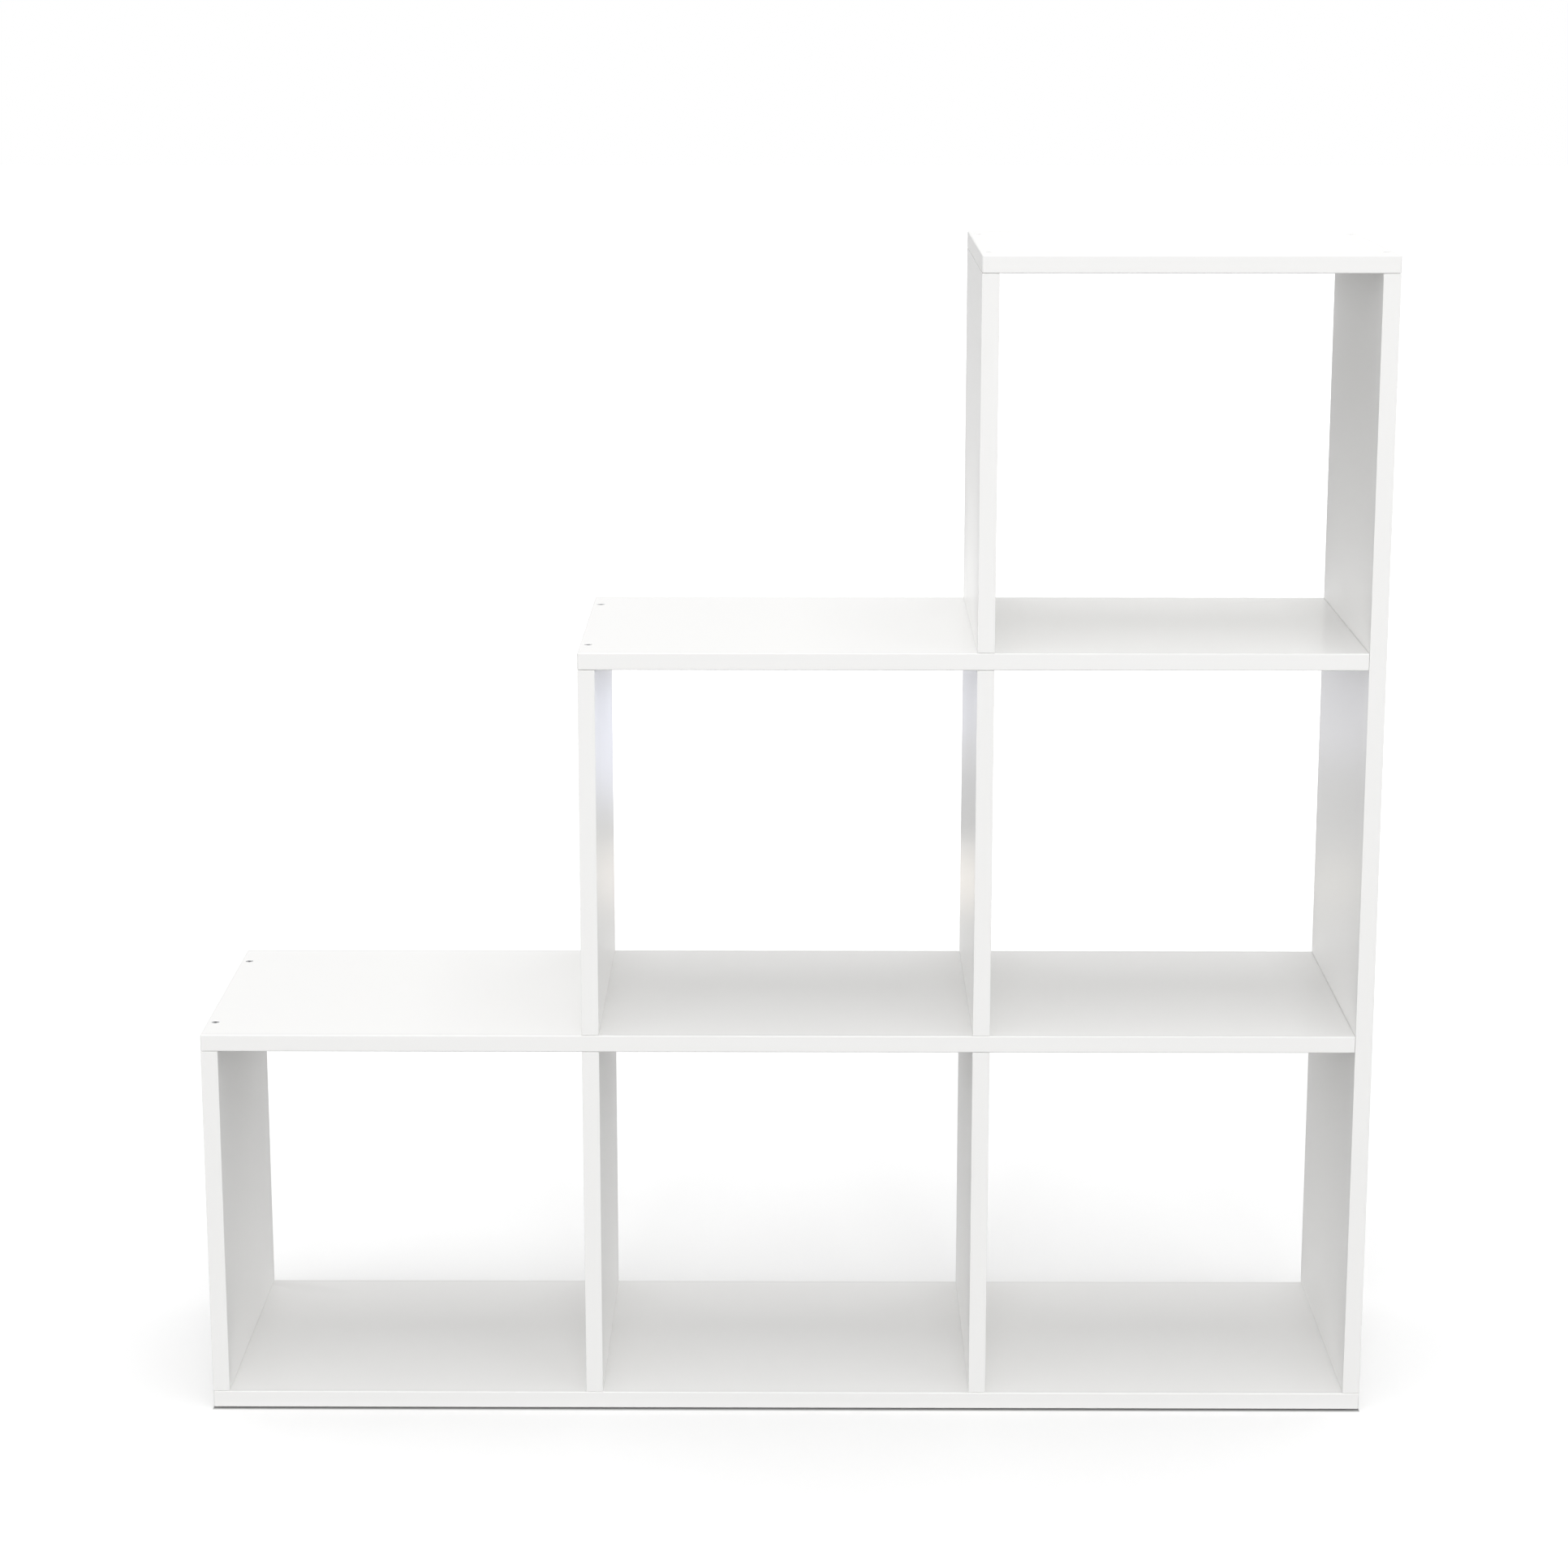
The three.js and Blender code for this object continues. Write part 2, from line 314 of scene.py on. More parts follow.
def cloud_group() -> NodeTree:
    """Builds the effect "Clouding": a slow change of a surface's tone and roughness, as handling leaves it.

    Returns:
        The shader node group.
    """
    kinds = {
        "Coordinates": "Vector",
        "Colour": "Color",
        "Tone": "Float",
        "Scale": "Float",
        "Roughness": "Float",
        "Smears": "Float",
    }
    tree = Group("Clouding", "ShaderNodeTree", kinds, {"Colour": "Color", "Roughness": "Float"})
    given = tree.given

    def swing(noise: NodeSocket, strength: str, middle: Any) -> NodeSocket:
        """Returns a value that a noise swings about its middle."""
        change = tree.math("MULTIPLY", tree.math("SUBTRACT", noise, 0.5), given[strength])
        return tree.math("ADD", change, middle)

    tone = swing(tree.noise(given["Coordinates"], given["Scale"], detail=3.0, roughness=0.55), "Tone", 1.0)
    finer = tree.math("MULTIPLY", given["Scale"], SMEARS_TO_CLOUDS)
    smears = tree.noise(given["Coordinates"], finer, detail=4.0, roughness=0.6)
    roughness = swing(smears, "Smears", given["Roughness"])
    colour = tree.mix(1.0, given["Colour"], tree.grey(tone), "MULTIPLY")
    tree.add("NodeGroupOutput", {"Colour": colour, "Roughness": roughness})
    return tree.tree


def pearl_group() -> NodeTree:
    """Builds the effect "Pearl": the fine pressed or moulded skin of a surface, as a height from 0 to 1.

    Returns:
        The shader node group.
    """
    kinds = {"Coordinates": "Vector", "Fine": "Float", "Broad": "Float", "Share": "Float"}
    tree = Group("Pearl", "ShaderNodeTree", kinds, {"Height": "Float"})
    given = tree.given
    fine = tree.noise(given["Coordinates"], given["Fine"])
    broad = tree.noise(given["Coordinates"], given["Broad"], detail=1.0)
    height = tree.out("ShaderNodeMix", {0: given["Share"], 2: fine, 3: broad}, data_type="FLOAT")
    tree.add("NodeGroupOutput", {"Height": height})
    return tree.tree


# ---------------------------------------------------------------- finishes


@dataclass(frozen=True)
class Effects:
    """The shared shader node groups."""

    cloud: NodeTree
    pearl: NodeTree


@dataclass(frozen=True)
class Clouds:
    """Strengths of "Clouding": change of tone as a share, clouds in a metre, and change of roughness."""

    tone: float
    scale: float
    smears: float


@dataclass(frozen=True)
class Pearl:
    """Strengths of "Pearl": grains and waves in a metre, the waves' share, and its depth in metres."""

    fine: float
    broad: float
    share: float
    depth: float


@dataclass(frozen=True)
class Gloss:
    """How a surface shines: its specular level, and the weight and roughness of its clear upper layer."""

    specular: float
    coat: float
    coat_roughness: float

    def inputs(self) -> dict[str, float]:
        """Returns the shader's inputs for it."""
        names = ("Specular IOR Level", "Coat Weight", "Coat Roughness")
        return dict(zip(names, (self.specular, self.coat, self.coat_roughness)))


class Surface(Tree):
    """A material's tree with its Principled BSDF, and shortcuts to the shared effects."""

    def __init__(self, name: str, effects: Effects) -> None:
        """Starts a material.

        Args:
            name: The material's name.
            effects: The shared groups.
        """
        self.material = bpy.data.materials.new(name)
        super().__init__(emptied(self.material))
        self.effects = effects
        self.shader = self.add("ShaderNodeBsdfPrincipled")
        self.add("ShaderNodeOutputMaterial", {"Surface": self.shader.outputs[0]})
        self.place = self.add("ShaderNodeAttribute", attribute_name=LOCAL).outputs["Vector"]

    def clouded(self, colour: Rgb, roughness: float, clouds: Clouds) -> NodeSocket:
        """Feeds the shader's roughness from "Clouding" and returns the clouded colour.

        Args:
            colour: The surface's colour.
            roughness: Mean roughness.
            clouds: Strengths of the effect.

        Returns:
            The clouded colour.
        """
        inputs = {
            "Coordinates": self.place,
            "Colour": rgba(colour),
            "Tone": clouds.tone,
            "Scale": clouds.scale,
            "Roughness": roughness,
            "Smears": clouds.smears,
        }
        node = self.add("ShaderNodeGroup", inputs, node_tree=self.effects.cloud)
        self.feed(self.shader.inputs["Roughness"], node.outputs["Roughness"])
        return node.outputs["Colour"]

    def pearled(self, pearl: Pearl) -> NodeSocket:
        """Returns the normal that "Pearl" bends."""
        inputs = {"Coordinates": self.place, "Fine": pearl.fine, "Broad": pearl.broad, "Share": pearl.share}
        return self.bump(self.out("ShaderNodeGroup", inputs, node_tree=self.effects.pearl), pearl.depth)

    def stretched(self, source: Any, factors: Triple) -> NodeSocket:
        """Returns coordinates scaled along each axis."""
        return self.out("ShaderNodeMapping", {"Vector": source, "Scale": factors})

    def dressed(self, inputs: dict[str, Any]) -> Material:
        """Feeds the shader.

        Args:
            inputs: Values or sockets for its inputs, by name.

        Returns:
            The finished material.
        """
        for name, value in inputs.items():
            self.feed(self.shader.inputs[name], value)
        return self.material


@dataclass(frozen=True)
class WhiteFacing:
    """Melamine facing: a satin white with a fine pearl, and a hairline glue line along its bands."""

    colour: Rgb = (0.935, 0.932, 0.922)
    roughness: float = 0.5
    clouds: Clouds = Clouds(0.012, 5.0, 0.06)
    pearl: Pearl = Pearl(1700.0, 260.0, 0.35, 0.006 * MM)
    gloss: Gloss = Gloss(0.05, 0.1, 0.1)
    glue_line: float = 0.965
    glue_range: Span = (0.05, 0.16)

    def material(self, effects: Effects) -> Material:
        """Builds the material.

        Args:
            effects: The shared groups.

        Returns:
            The material.
        """
        surface = Surface("white_facing", effects)
        colour = surface.clouded(self.colour, self.roughness, self.clouds)
        rim = surface.add("ShaderNodeAttribute", attribute_name=RIM).outputs["Fac"]
        line = surface.grey(surface.spread(rim, *self.glue_range, self.glue_line, 1.0))
        lined = surface.mix(1.0, colour, line, "MULTIPLY")
        inputs = {"Base Color": lined, "Normal": surface.pearled(self.pearl)}
        return surface.dressed(inputs | self.gloss.inputs())


@dataclass(frozen=True)
class EdgeBand:
    """Edge band: a slightly smoother white, with the scraper's fine lines along it."""

    colour: Rgb = (0.94, 0.937, 0.927)
    roughness: float = 0.3
    clouds: Clouds = Clouds(0.008, 9.0, 0.05)
    pearl: Pearl = Pearl(1200.0, 180.0, 0.5, 0.004 * MM)
    gloss: Gloss = Gloss(0.5, 0.15, 0.1)
    scrape_stretch: Triple = (12.0, 2600.0, 1.0)
    scrape_depth: float = 0.003 * MM

    def material(self, effects: Effects) -> Material:
        """Builds the material.

        Args:
            effects: The shared groups.

        Returns:
            The material.
        """
        surface = Surface("edge_band", effects)
        colour = surface.clouded(self.colour, self.roughness, self.clouds)
        along = surface.out("ShaderNodeUVMap", uv_map=GRAIN_MAP)
        scraped = surface.noise(surface.stretched(along, self.scrape_stretch), 1.0)
        normal = surface.bump(scraped, self.scrape_depth, surface.pearled(self.pearl))
        return surface.dressed({"Base Color": colour, "Normal": normal} | self.gloss.inputs())


@dataclass(frozen=True)
class ParticleCore:
    """Particle board as a bore or a saw cut shows it: pressed chips with dark gaps between them."""

    pale: Rgb = (0.66, 0.5, 0.33)
    brown: Rgb = (0.42, 0.28, 0.16)
    gap: Rgb = (0.12, 0.075, 0.045)
    chips: float = 620.0
    chip_stretch: Triple = (1.0, 1.0, 2.4)
    chip_depth: float = 0.12 * MM
    gap_range: Span = (0.0, 0.09)
    fibres: float = 900.0
    fibre_stretch: Triple = (3.0, 3.0, 9.0)
    fibre_range: Span = (0.3, 0.7)
    fibre_depth: float = 0.05 * MM
    roughness: Span = (0.8, 0.95)

    def material(self, effects: Effects) -> Material:
        """Builds the material.

        Args:
            effects: The shared groups.

        Returns:
            The material.
        """
        surface = Surface("particle_core", effects)
        cells = {"Vector": surface.stretched(surface.place, self.chip_stretch), "Scale": self.chips}
        chips = surface.add("ShaderNodeTexVoronoi", cells).outputs
        gaps = surface.add("ShaderNodeTexVoronoi", cells, feature="DISTANCE_TO_EDGE").outputs["Distance"]
        chip = surface.out("ShaderNodeSeparateColor", {0: chips["Color"]})
        wood = surface.mix(chip, rgba(self.pale), rgba(self.brown))
        open_gap = surface.spread(gaps, *self.gap_range, 1.0, 0.0)
        fibre = surface.noise(surface.stretched(surface.place, self.fibre_stretch), self.fibres, detail=3.0)
        coarse = surface.bump(chips["Distance"], self.chip_depth)
        return surface.dressed(
            {
                "Base Color": surface.mix(open_gap, wood, rgba(self.gap)),
                "Roughness": surface.spread(fibre, *self.fibre_range, *self.roughness),
                "Normal": surface.bump(fibre, self.fibre_depth, coarse),
            }
        )


@dataclass(frozen=True)
class ZincPlate:
    """Zinc plated steel with the turning tool's rings about its own axis and a dull bloom."""

    colour: Rgb = (0.42, 0.425, 0.44)
    bloom: Rgb = (0.28, 0.285, 0.295)
    roughness: float = 0.36
    clouds: Clouds = Clouds(0.1, 300.0, 0.2)
    spots: float = 900.0
    spot_range: Span = (0.52, 0.72)
    rings: float = 9000.0
    ring_depth: float = 0.004 * MM

    def material(self, effects: Effects) -> Material:
        """Builds the material.

        Args:
            effects: The shared groups.

        Returns:
            The material.
        """
        surface = Surface("zinc_plate", effects)
        colour = surface.clouded(self.colour, self.roughness, self.clouds)
        mottle = surface.noise(surface.place, self.spots, detail=4.0, roughness=0.6)
        spots = surface.spread(mottle, *self.spot_range, 0.0, 1.0)
        x, y, z = surface.axes(surface.place)
        rings = surface.out("ShaderNodeCombineXYZ", {0: surface.radius(x, y), 2: z})
        return surface.dressed(
            {
                "Base Color": surface.mix(spots, colour, rgba(self.bloom)),
                "Normal": surface.bump(surface.noise(rings, self.rings), self.ring_depth),
                "Metallic": 1.0,
            }
        )


@dataclass(frozen=True)
class BareBeech:
    """Bare beech with short dark rays and pores along the dowel."""

    pale: Rgb = (0.7, 0.5, 0.31)
    dark: Rgb = (0.52, 0.34, 0.19)
    growth: float = 700.0
    growth_stretch: Triple = (1.0, 1.0, 0.06)
    growth_range: Span = (0.3, 0.7)
    growth_share: float = 0.7
    rays: float = 2600.0
    ray_stretch: Triple = (1.0, 0.35, 0.12)
    ray_range: Span = (0.6, 0.7)
    ray_share: float = 0.8
    ray_depth: float = 0.03 * MM
    roughness: Span = (0.55, 0.75)

    def material(self, effects: Effects) -> Material:
        """Builds the material.

        Args:
            effects: The shared groups.

        Returns:
            The material.
        """
        surface = Surface("bare_beech", effects)
        along = surface.stretched(surface.place, self.growth_stretch)
        growth = surface.noise(along, self.growth, detail=3.0, roughness=0.6)
        rays = surface.noise(surface.stretched(surface.place, self.ray_stretch), self.rays)
        grown = surface.spread(growth, *self.growth_range, 0.0, self.growth_share)
        wood = surface.mix(grown, rgba(self.pale), rgba(self.dark))
        flecks = surface.spread(rays, *self.ray_range, 0.0, self.ray_share)
        return surface.dressed(
            {
                "Base Color": surface.mix(flecks, wood, rgba(self.dark)),
                "Roughness": surface.spread(growth, *self.growth_range, *self.roughness),
                "Normal": surface.bump(rays, self.ray_depth),
            }
        )


@dataclass(frozen=True)
class MouldedPlastic:
    """Pale grey moulded plastic with a fine spark-eroded skin."""

    colour: Rgb = (0.68, 0.68, 0.665)
    roughness: float = 0.52
    clouds: Clouds = Clouds(0.06, 120.0, 0.1)
    pearl: Pearl = Pearl(5200.0, 800.0, 0.3, 0.01 * MM)

    def material(self, effects: Effects) -> Material:
        """Builds the material.

        Args:
            effects: The shared groups.

        Returns:
            The material.
        """
        surface = Surface("moulded_plastic", effects)
        colour = surface.clouded(self.colour, self.roughness, self.clouds)
        return surface.dressed({"Base Color": colour, "Normal": surface.pearled(self.pearl)})


# ---------------------------------------------------------------- turned pieces by Geometry Nodes


class TurningTree(Group):
    """A Geometry Nodes tree that turns an outline about its axis and puts a copy at each place.

    The outline is a mesh of one vertex for each ring: X is its radius and Z its height. Three attributes say
    how far a ring is threaded, hexagonal or grooved. A place is a vertex with a heading.
    """

    SIZES = {
        "Sides": "Int",
        "Thread pitch": "Float",
        "Thread depth": "Float",
        "Socket width": "Float",
        "Grooves": "Int",
        "Groove depth": "Float",
        "Turn": "Float",
        "Seed": "Int",
    }
    MERGE = 0.001 * MM
    CREASE = math.radians(32)
    THREAD_MEAN = 0.33
    GROOVE_SLOPE = 4.0
    SEED = 7

    def __init__(self) -> None:
        """Builds the tree."""
        kinds = {"Places": "Geometry", "Outline": "Object", "Finish": "Material"}
        super().__init__("Turned pieces", "GeometryNodeTree", kinds | self.SIZES, {"Geometry": "Geometry"})
        whole = self.out("GeometryNodeRealizeInstances", {"Geometry": self._placed(self._turned())})
        dressed = self.out("GeometryNodeSetMaterial", {"Geometry": whole, "Material": self.given["Finish"]})
        self.add("NodeGroupOutput", {"Geometry": dressed})

    def _turned(self) -> NodeSocket:
        """Adds the nodes that turn the outline into one closed piece.

        Returns:
            The piece's geometry.
        """
        given = self.given
        outline = self.add("GeometryNodeObjectInfo", {"Object": given["Outline"]}).outputs["Geometry"]
        rings = self.add("GeometryNodeAttributeDomainSize", {0: outline}).outputs["Point Count"]
        across = self.math("ADD", given["Sides"], 1.0)
        grid = self.add("GeometryNodeMeshGrid", {"Vertices X": rings, "Vertices Y": across}).outputs["Mesh"]
        index = self.out("GeometryNodeInputIndex")
        ring = self.math("FLOOR", self.math("DIVIDE", self.math("ADD", index, 0.5), across))
        side = self.math("SUBTRACT", index, self.math("MULTIPLY", ring, across))
        turn = self.math("DIVIDE", side, given["Sides"])
        angle = self.math("MULTIPLY", turn, math.tau)

        def of_ring(value: NodeSocket, kind: str) -> NodeSocket:
            """Returns a value of the outline at each vertex's ring."""
            inputs = {"Geometry": outline, "Value": value, "Index": ring}
            return self.out("GeometryNodeSampleIndex", inputs, data_type=kind, domain="POINT")

        def share(name: str) -> NodeSocket:
            """Returns a named share of the outline at each vertex's ring."""
            named = self.add("GeometryNodeInputNamedAttribute", {"Name": name}, data_type="FLOAT")
            return of_ring(named.outputs["Attribute"], "FLOAT")

        position = self.out("GeometryNodeInputPosition")
        plain, _, height = self.axes(of_ring(position, "FLOAT_VECTOR"))
        climb = self.math("SUBTRACT", self.math("DIVIDE", height, given["Thread pitch"]), turn)
        crest = self.math("POWER", self.math("MULTIPLY", self.math("PINGPONG", climb, 0.5), 2.0), 2.0)
        raised = self.math("MULTIPLY", self.math("SUBTRACT", crest, self.THREAD_MEAN), given["Thread depth"])
        threaded = self.math("ADD", plain, self.math("MULTIPLY", raised, share("threaded")))
        notch = self.math("PINGPONG", self.math("MULTIPLY", turn, given["Grooves"]), 0.5)
        slope = self.math("MULTIPLY", notch, self.GROOVE_SLOPE)
        sharp = self.math("MAXIMUM", self.math("SUBTRACT", 1.0, slope), 0.0)
        cut = self.math("MULTIPLY", self.math("MULTIPLY", sharp, given["Groove depth"]), share("grooved"))
        grooved = self.math("SUBTRACT", threaded, cut)
        corner = self.math("SUBTRACT", self.math("MODULO", angle, math.pi / 3), math.pi / 6)
        half_width = self.math("DIVIDE", given["Socket width"], 2.0)
        flat = self.math("DIVIDE", half_width, self.math("COSINE", corner))
        hexagonal = share("hexagonal")
        round_part = self.math("MULTIPLY", grooved, self.math("SUBTRACT", 1.0, hexagonal))
        radius = self.math("ADD", round_part, self.math("MULTIPLY", flat, hexagonal))
        ways = [self.math("MULTIPLY", radius, self.math(turned, angle)) for turned in ("COSINE", "SINE")]
        spot = self.out("ShaderNodeCombineXYZ", {0: ways[0], 1: ways[1], 2: height})
        shaped = self.out("GeometryNodeSetPosition", {"Geometry": grid, "Position": spot})
        stored = {"Geometry": shaped, "Name": LOCAL, "Value": position}
        kept = self.out("GeometryNodeStoreNamedAttribute", stored, data_type="FLOAT_VECTOR", domain="POINT")
        closed = self.out("GeometryNodeMergeByDistance", {"Geometry": kept, "Distance": self.MERGE})
        smooth = self.out("GeometryNodeSetShadeSmooth", {"Geometry": closed}, domain="FACE")
        fold = self.add("GeometryNodeInputMeshEdgeAngle").outputs["Unsigned Angle"]
        crease = self.math("GREATER_THAN", fold, self.CREASE)
        sharpened = {"Geometry": smooth, "Selection": crease, "Shade Smooth": False}
        return self.out("GeometryNodeSetShadeSmooth", sharpened, domain="EDGE")

    def _placed(self, piece: NodeSocket) -> NodeSocket:
        """Adds the nodes that put a copy at each place, with its own turn about its axis.

        Args:
            piece: The piece's geometry.

        Returns:
            The copies' geometry.
        """
        heading = self.add("GeometryNodeInputNamedAttribute", {"Name": "heading"}, data_type="FLOAT_VECTOR")
        way = {"Vector": heading.outputs["Attribute"]}
        aimed = self.out("FunctionNodeAlignRotationToVector", way, axis="Z")
        chance = self.add("FunctionNodeRandomValue", data_type="FLOAT")
        enabled = {socket.name: socket for socket in chance.inputs if socket.enabled}
        for name, value in {"Min": 0.0, "Max": self.given["Turn"], "Seed": self.given["Seed"]}.items():
            self.feed(enabled[name], value)
        drawn = next(socket for socket in chance.outputs if socket.enabled)
        spun = self.out("FunctionNodeAxisAngleToRotation", {"Axis": (0.0, 0.0, 1.0), "Angle": drawn})
        both = {"Rotation": aimed, "Rotate By": spun}
        turned = self.out("FunctionNodeRotateRotation", both, rotation_space="LOCAL")
        copied = {"Points": self.given["Places"], "Instance": piece, "Rotation": turned}
        return self.out("GeometryNodeInstanceOnPoints", copied)

    def mesh(self, outline: "TurnedOutline", places: "Places", finish: Material, turn: float = 0.0) -> Mesh:
        """Runs the tree once.

        Args:
            outline: What is turned.
            places: Where the copies go.
            finish: Their material.
            turn: Largest turn of a copy about its own axis, in radians.

        Returns:
            All the copies as one closed and plain mesh.
        """
        pattern = outline.object()
        holder = places.object()
        modifier = holder.modifiers.new("Turned pieces", "NODES")
        modifier.node_group = self.tree
        values = {"Outline": pattern, "Finish": finish, "Turn": turn, "Seed": self.SEED} | outline.sizes()
        for name, value in values.items():
            modifier[self.identifiers[name]] = value
        mesh = baked(holder)
        bpy.data.objects.remove(pattern)
        made = bmesh.new()
        made.from_mesh(mesh)
        bmesh.ops.recalc_face_normals(made, faces=made.faces)
        made.to_mesh(mesh)
        made.free()
        return mesh


@dataclass
class TurnedOutline:
    """Radii and heights of a turned piece from its deepest point to its top, and what is cut on it."""

    points: Outline
    sides: int = 32
    threaded: dict[int, float] = field(default_factory=dict)
    hexagonal: set[int] = field(default_factory=set)
    grooved: set[int] = field(default_factory=set)
    thread_pitch: float = 1.0
    thread_depth: float = 0.0
    socket_width: float = 1.0
    grooves: int = 1
    groove_depth: float = 0.0

    def object(self) -> Object:
        """Makes an object of one vertex for each ring, with its shares as attributes.

        Returns:
            The object.
        """
        mesh = bpy.data.meshes.new("outline")
        mesh.from_pydata([(radius, 0.0, height) for radius, height in self.points], [], [])
        rings = range(len(self.points))
        shares = {
            "threaded": [self.threaded.get(ring, 0.0) for ring in rings],
            "hexagonal": [float(ring in self.hexagonal) for ring in rings],
            "grooved": [float(ring in self.grooved) for ring in rings],
        }
        for name, values in shares.items():
            mesh.attributes.new(name, "FLOAT", "POINT").data.foreach_set("value", values)
        return object_of("outline", mesh)

    def sizes(self) -> dict[str, Any]:
        """Returns the tree's sizes by the names of its inputs."""
        names = ("Sides", "Thread pitch", "Thread depth", "Socket width", "Grooves", "Groove depth")
        return {name: getattr(self, name.lower().replace(" ", "_")) for name in names}


@dataclass
class Places:
    """Where fasteners are: the middle of each one's head or upper end, and its heading."""

    spots: list[Vector]
    headings: list[Heading]

    def object(self) -> Object:
        """Makes an object of one vertex for each place, with its heading as an attribute.

        Returns:
            The object.
        """
        mesh = bpy.data.meshes.new("places")
        mesh.from_pydata([tuple(spot) for spot in self.spots], [], [])
        flat = [number for heading in self.headings for number in heading.value]
        mesh.attributes.new("heading", "FLOAT_VECTOR", "POINT").data.foreach_set("vector", flat)
        return object_of("places", mesh)


# ---------------------------------------------------------------- fasteners


def heading_of(node: str) -> Heading:
    """Returns the way that a fastener's head looks.

    Args:
        node: The fastener's CAD node.

    Returns:
        Its heading.
    """
    if node.startswith("glide") or "_foot_" in node:
        return Heading.DOWN
    return Heading.RIGHT if "_end_" in node else Heading.UP


def places_of(nodes: Iterable[str]) -> Places:
    """Returns where fasteners are, from their boxes in the frame.

    Args:
        nodes: The fasteners' CAD nodes.

    Returns:
        Their places.
    """
    places = Places([], [])
    for node in nodes:
        low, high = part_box(node)
        heading = heading_of(node)
        half = (high - low) / 2
        way = Vector(heading.value)
        places.spots.append((low + high) / 2 + Vector(a * b for a, b in zip(half, way)))
        places.headings.append(heading)
    return places


@dataclass
class ConnectorScrews:
    """Connector screws: a flat countersunk head with a hexagon socket, a smooth collar and a threaded run."""

    length: float = 50 * MM
    head_radius: float = 3.5 * MM
    head_rim: float = 0.6 * MM
    head_break: float = 0.12 * MM
    collar_radius: float = 2.5 * MM
    collar_length: float = 11 * MM
    thread_radius: float = 2.1 * MM
    thread_depth: float = 0.8 * MM
    thread_pitch: float = 2.2 * MM
    rings_in_pitch: int = 6
    tip_length: float = 4 * MM
    tip_radius: float = 1 * MM
    socket_width: float = 3 * MM
    socket_depth: float = 2.4 * MM
    socket_flare: float = 0.2 * MM
    socket_lead: float = 0.08 * MM
    socket_point: float = 0.3 * MM
    run_out: int = 4
    recess: float = 0.4 * MM
    clearance: float = 0.15 * MM
    first_board: float = 14.65 * MM
    end_gap: float = 1 * MM
    sides: int = 24
    groups: dict[str, str] = field(
        default_factory=lambda: {
            "foot_screws": "_foot_",
            "head_screws": "_head_",
            "shelf_end_screws": "_end_",
        }
    )

    def outline(self) -> TurnedOutline:
        """Draws the screw.

        Returns:
            Its outline from the tip to the bottom of the socket.
        """
        cone_end = -self.head_rim - (self.head_radius - self.collar_radius)
        thread_end = cone_end - self.collar_length
        tip_start = -self.length + self.tip_length
        points: Outline = [(0.0, -self.length), (self.tip_radius, -self.length)]
        steps = round((thread_end - tip_start) / self.thread_pitch * self.rings_in_pitch)
        threaded = {}
        for step in range(steps + 1):
            threaded[len(points)] = min(1.0, step / self.run_out, (steps - step) / self.run_out)
            points.append((self.thread_radius, tip_start + (thread_end - tip_start) * step / steps))
        socket_corner = self.socket_width / math.sqrt(3)
        points += [
            (self.collar_radius, thread_end),
            (self.collar_radius, cone_end),
            (self.head_radius, -self.head_rim),
            (self.head_radius, -self.head_break),
            (self.head_radius - self.head_break, 0.0),
            (socket_corner + self.socket_flare, 0.0),
        ]
        hexagonal = {len(points), len(points) + 1}
        points += [
            (socket_corner, -self.socket_lead),
            (socket_corner, -self.socket_depth),
            (0.0, -self.socket_depth - self.socket_point),
        ]
        return TurnedOutline(
            points,
            self.sides,
            threaded=threaded,
            hexagonal=hexagonal,
            thread_pitch=self.thread_pitch,
            thread_depth=self.thread_depth,
            socket_width=self.socket_width,
        )

    def bore(self) -> TurnedOutline:
        """Draws the screw's bore.

        Returns:
            Its stepped and countersunk outline.
        """
        head = self.head_radius + self.clearance
        collar = self.collar_radius + self.clearance
        thread = self.thread_radius + self.clearance
        cone_end = -self.head_rim - (head - collar)
        bottom = -self.length - self.end_gap
        mouth = head + self.clearance
        points: Outline = [
            (0.0, bottom),
            (thread, bottom),
            (thread, -self.first_board),
            (collar, -self.first_board),
            (collar, cone_end),
            (head, -self.head_rim),
            (head, self.recess - self.clearance),
            (mouth, self.recess),
            (mouth, BORE_OVERRUN),
            (0.0, BORE_OVERRUN),
        ]
        return TurnedOutline(points, BORE_SIDES)

    def build(self, turning: TurningTree, finish: Material) -> None:
        """Builds the screws, one piece for each kind of joint.

        Args:
            turning: The tree that turns them.
            finish: Their material.
        """
        for name, part in self.groups.items():
            nodes = nodes_of("screw_", part)
            mesh = turning.mesh(self.outline(), places_of(nodes), finish, math.tau / 6)
            handed_over(object_of(name, mesh), nodes)


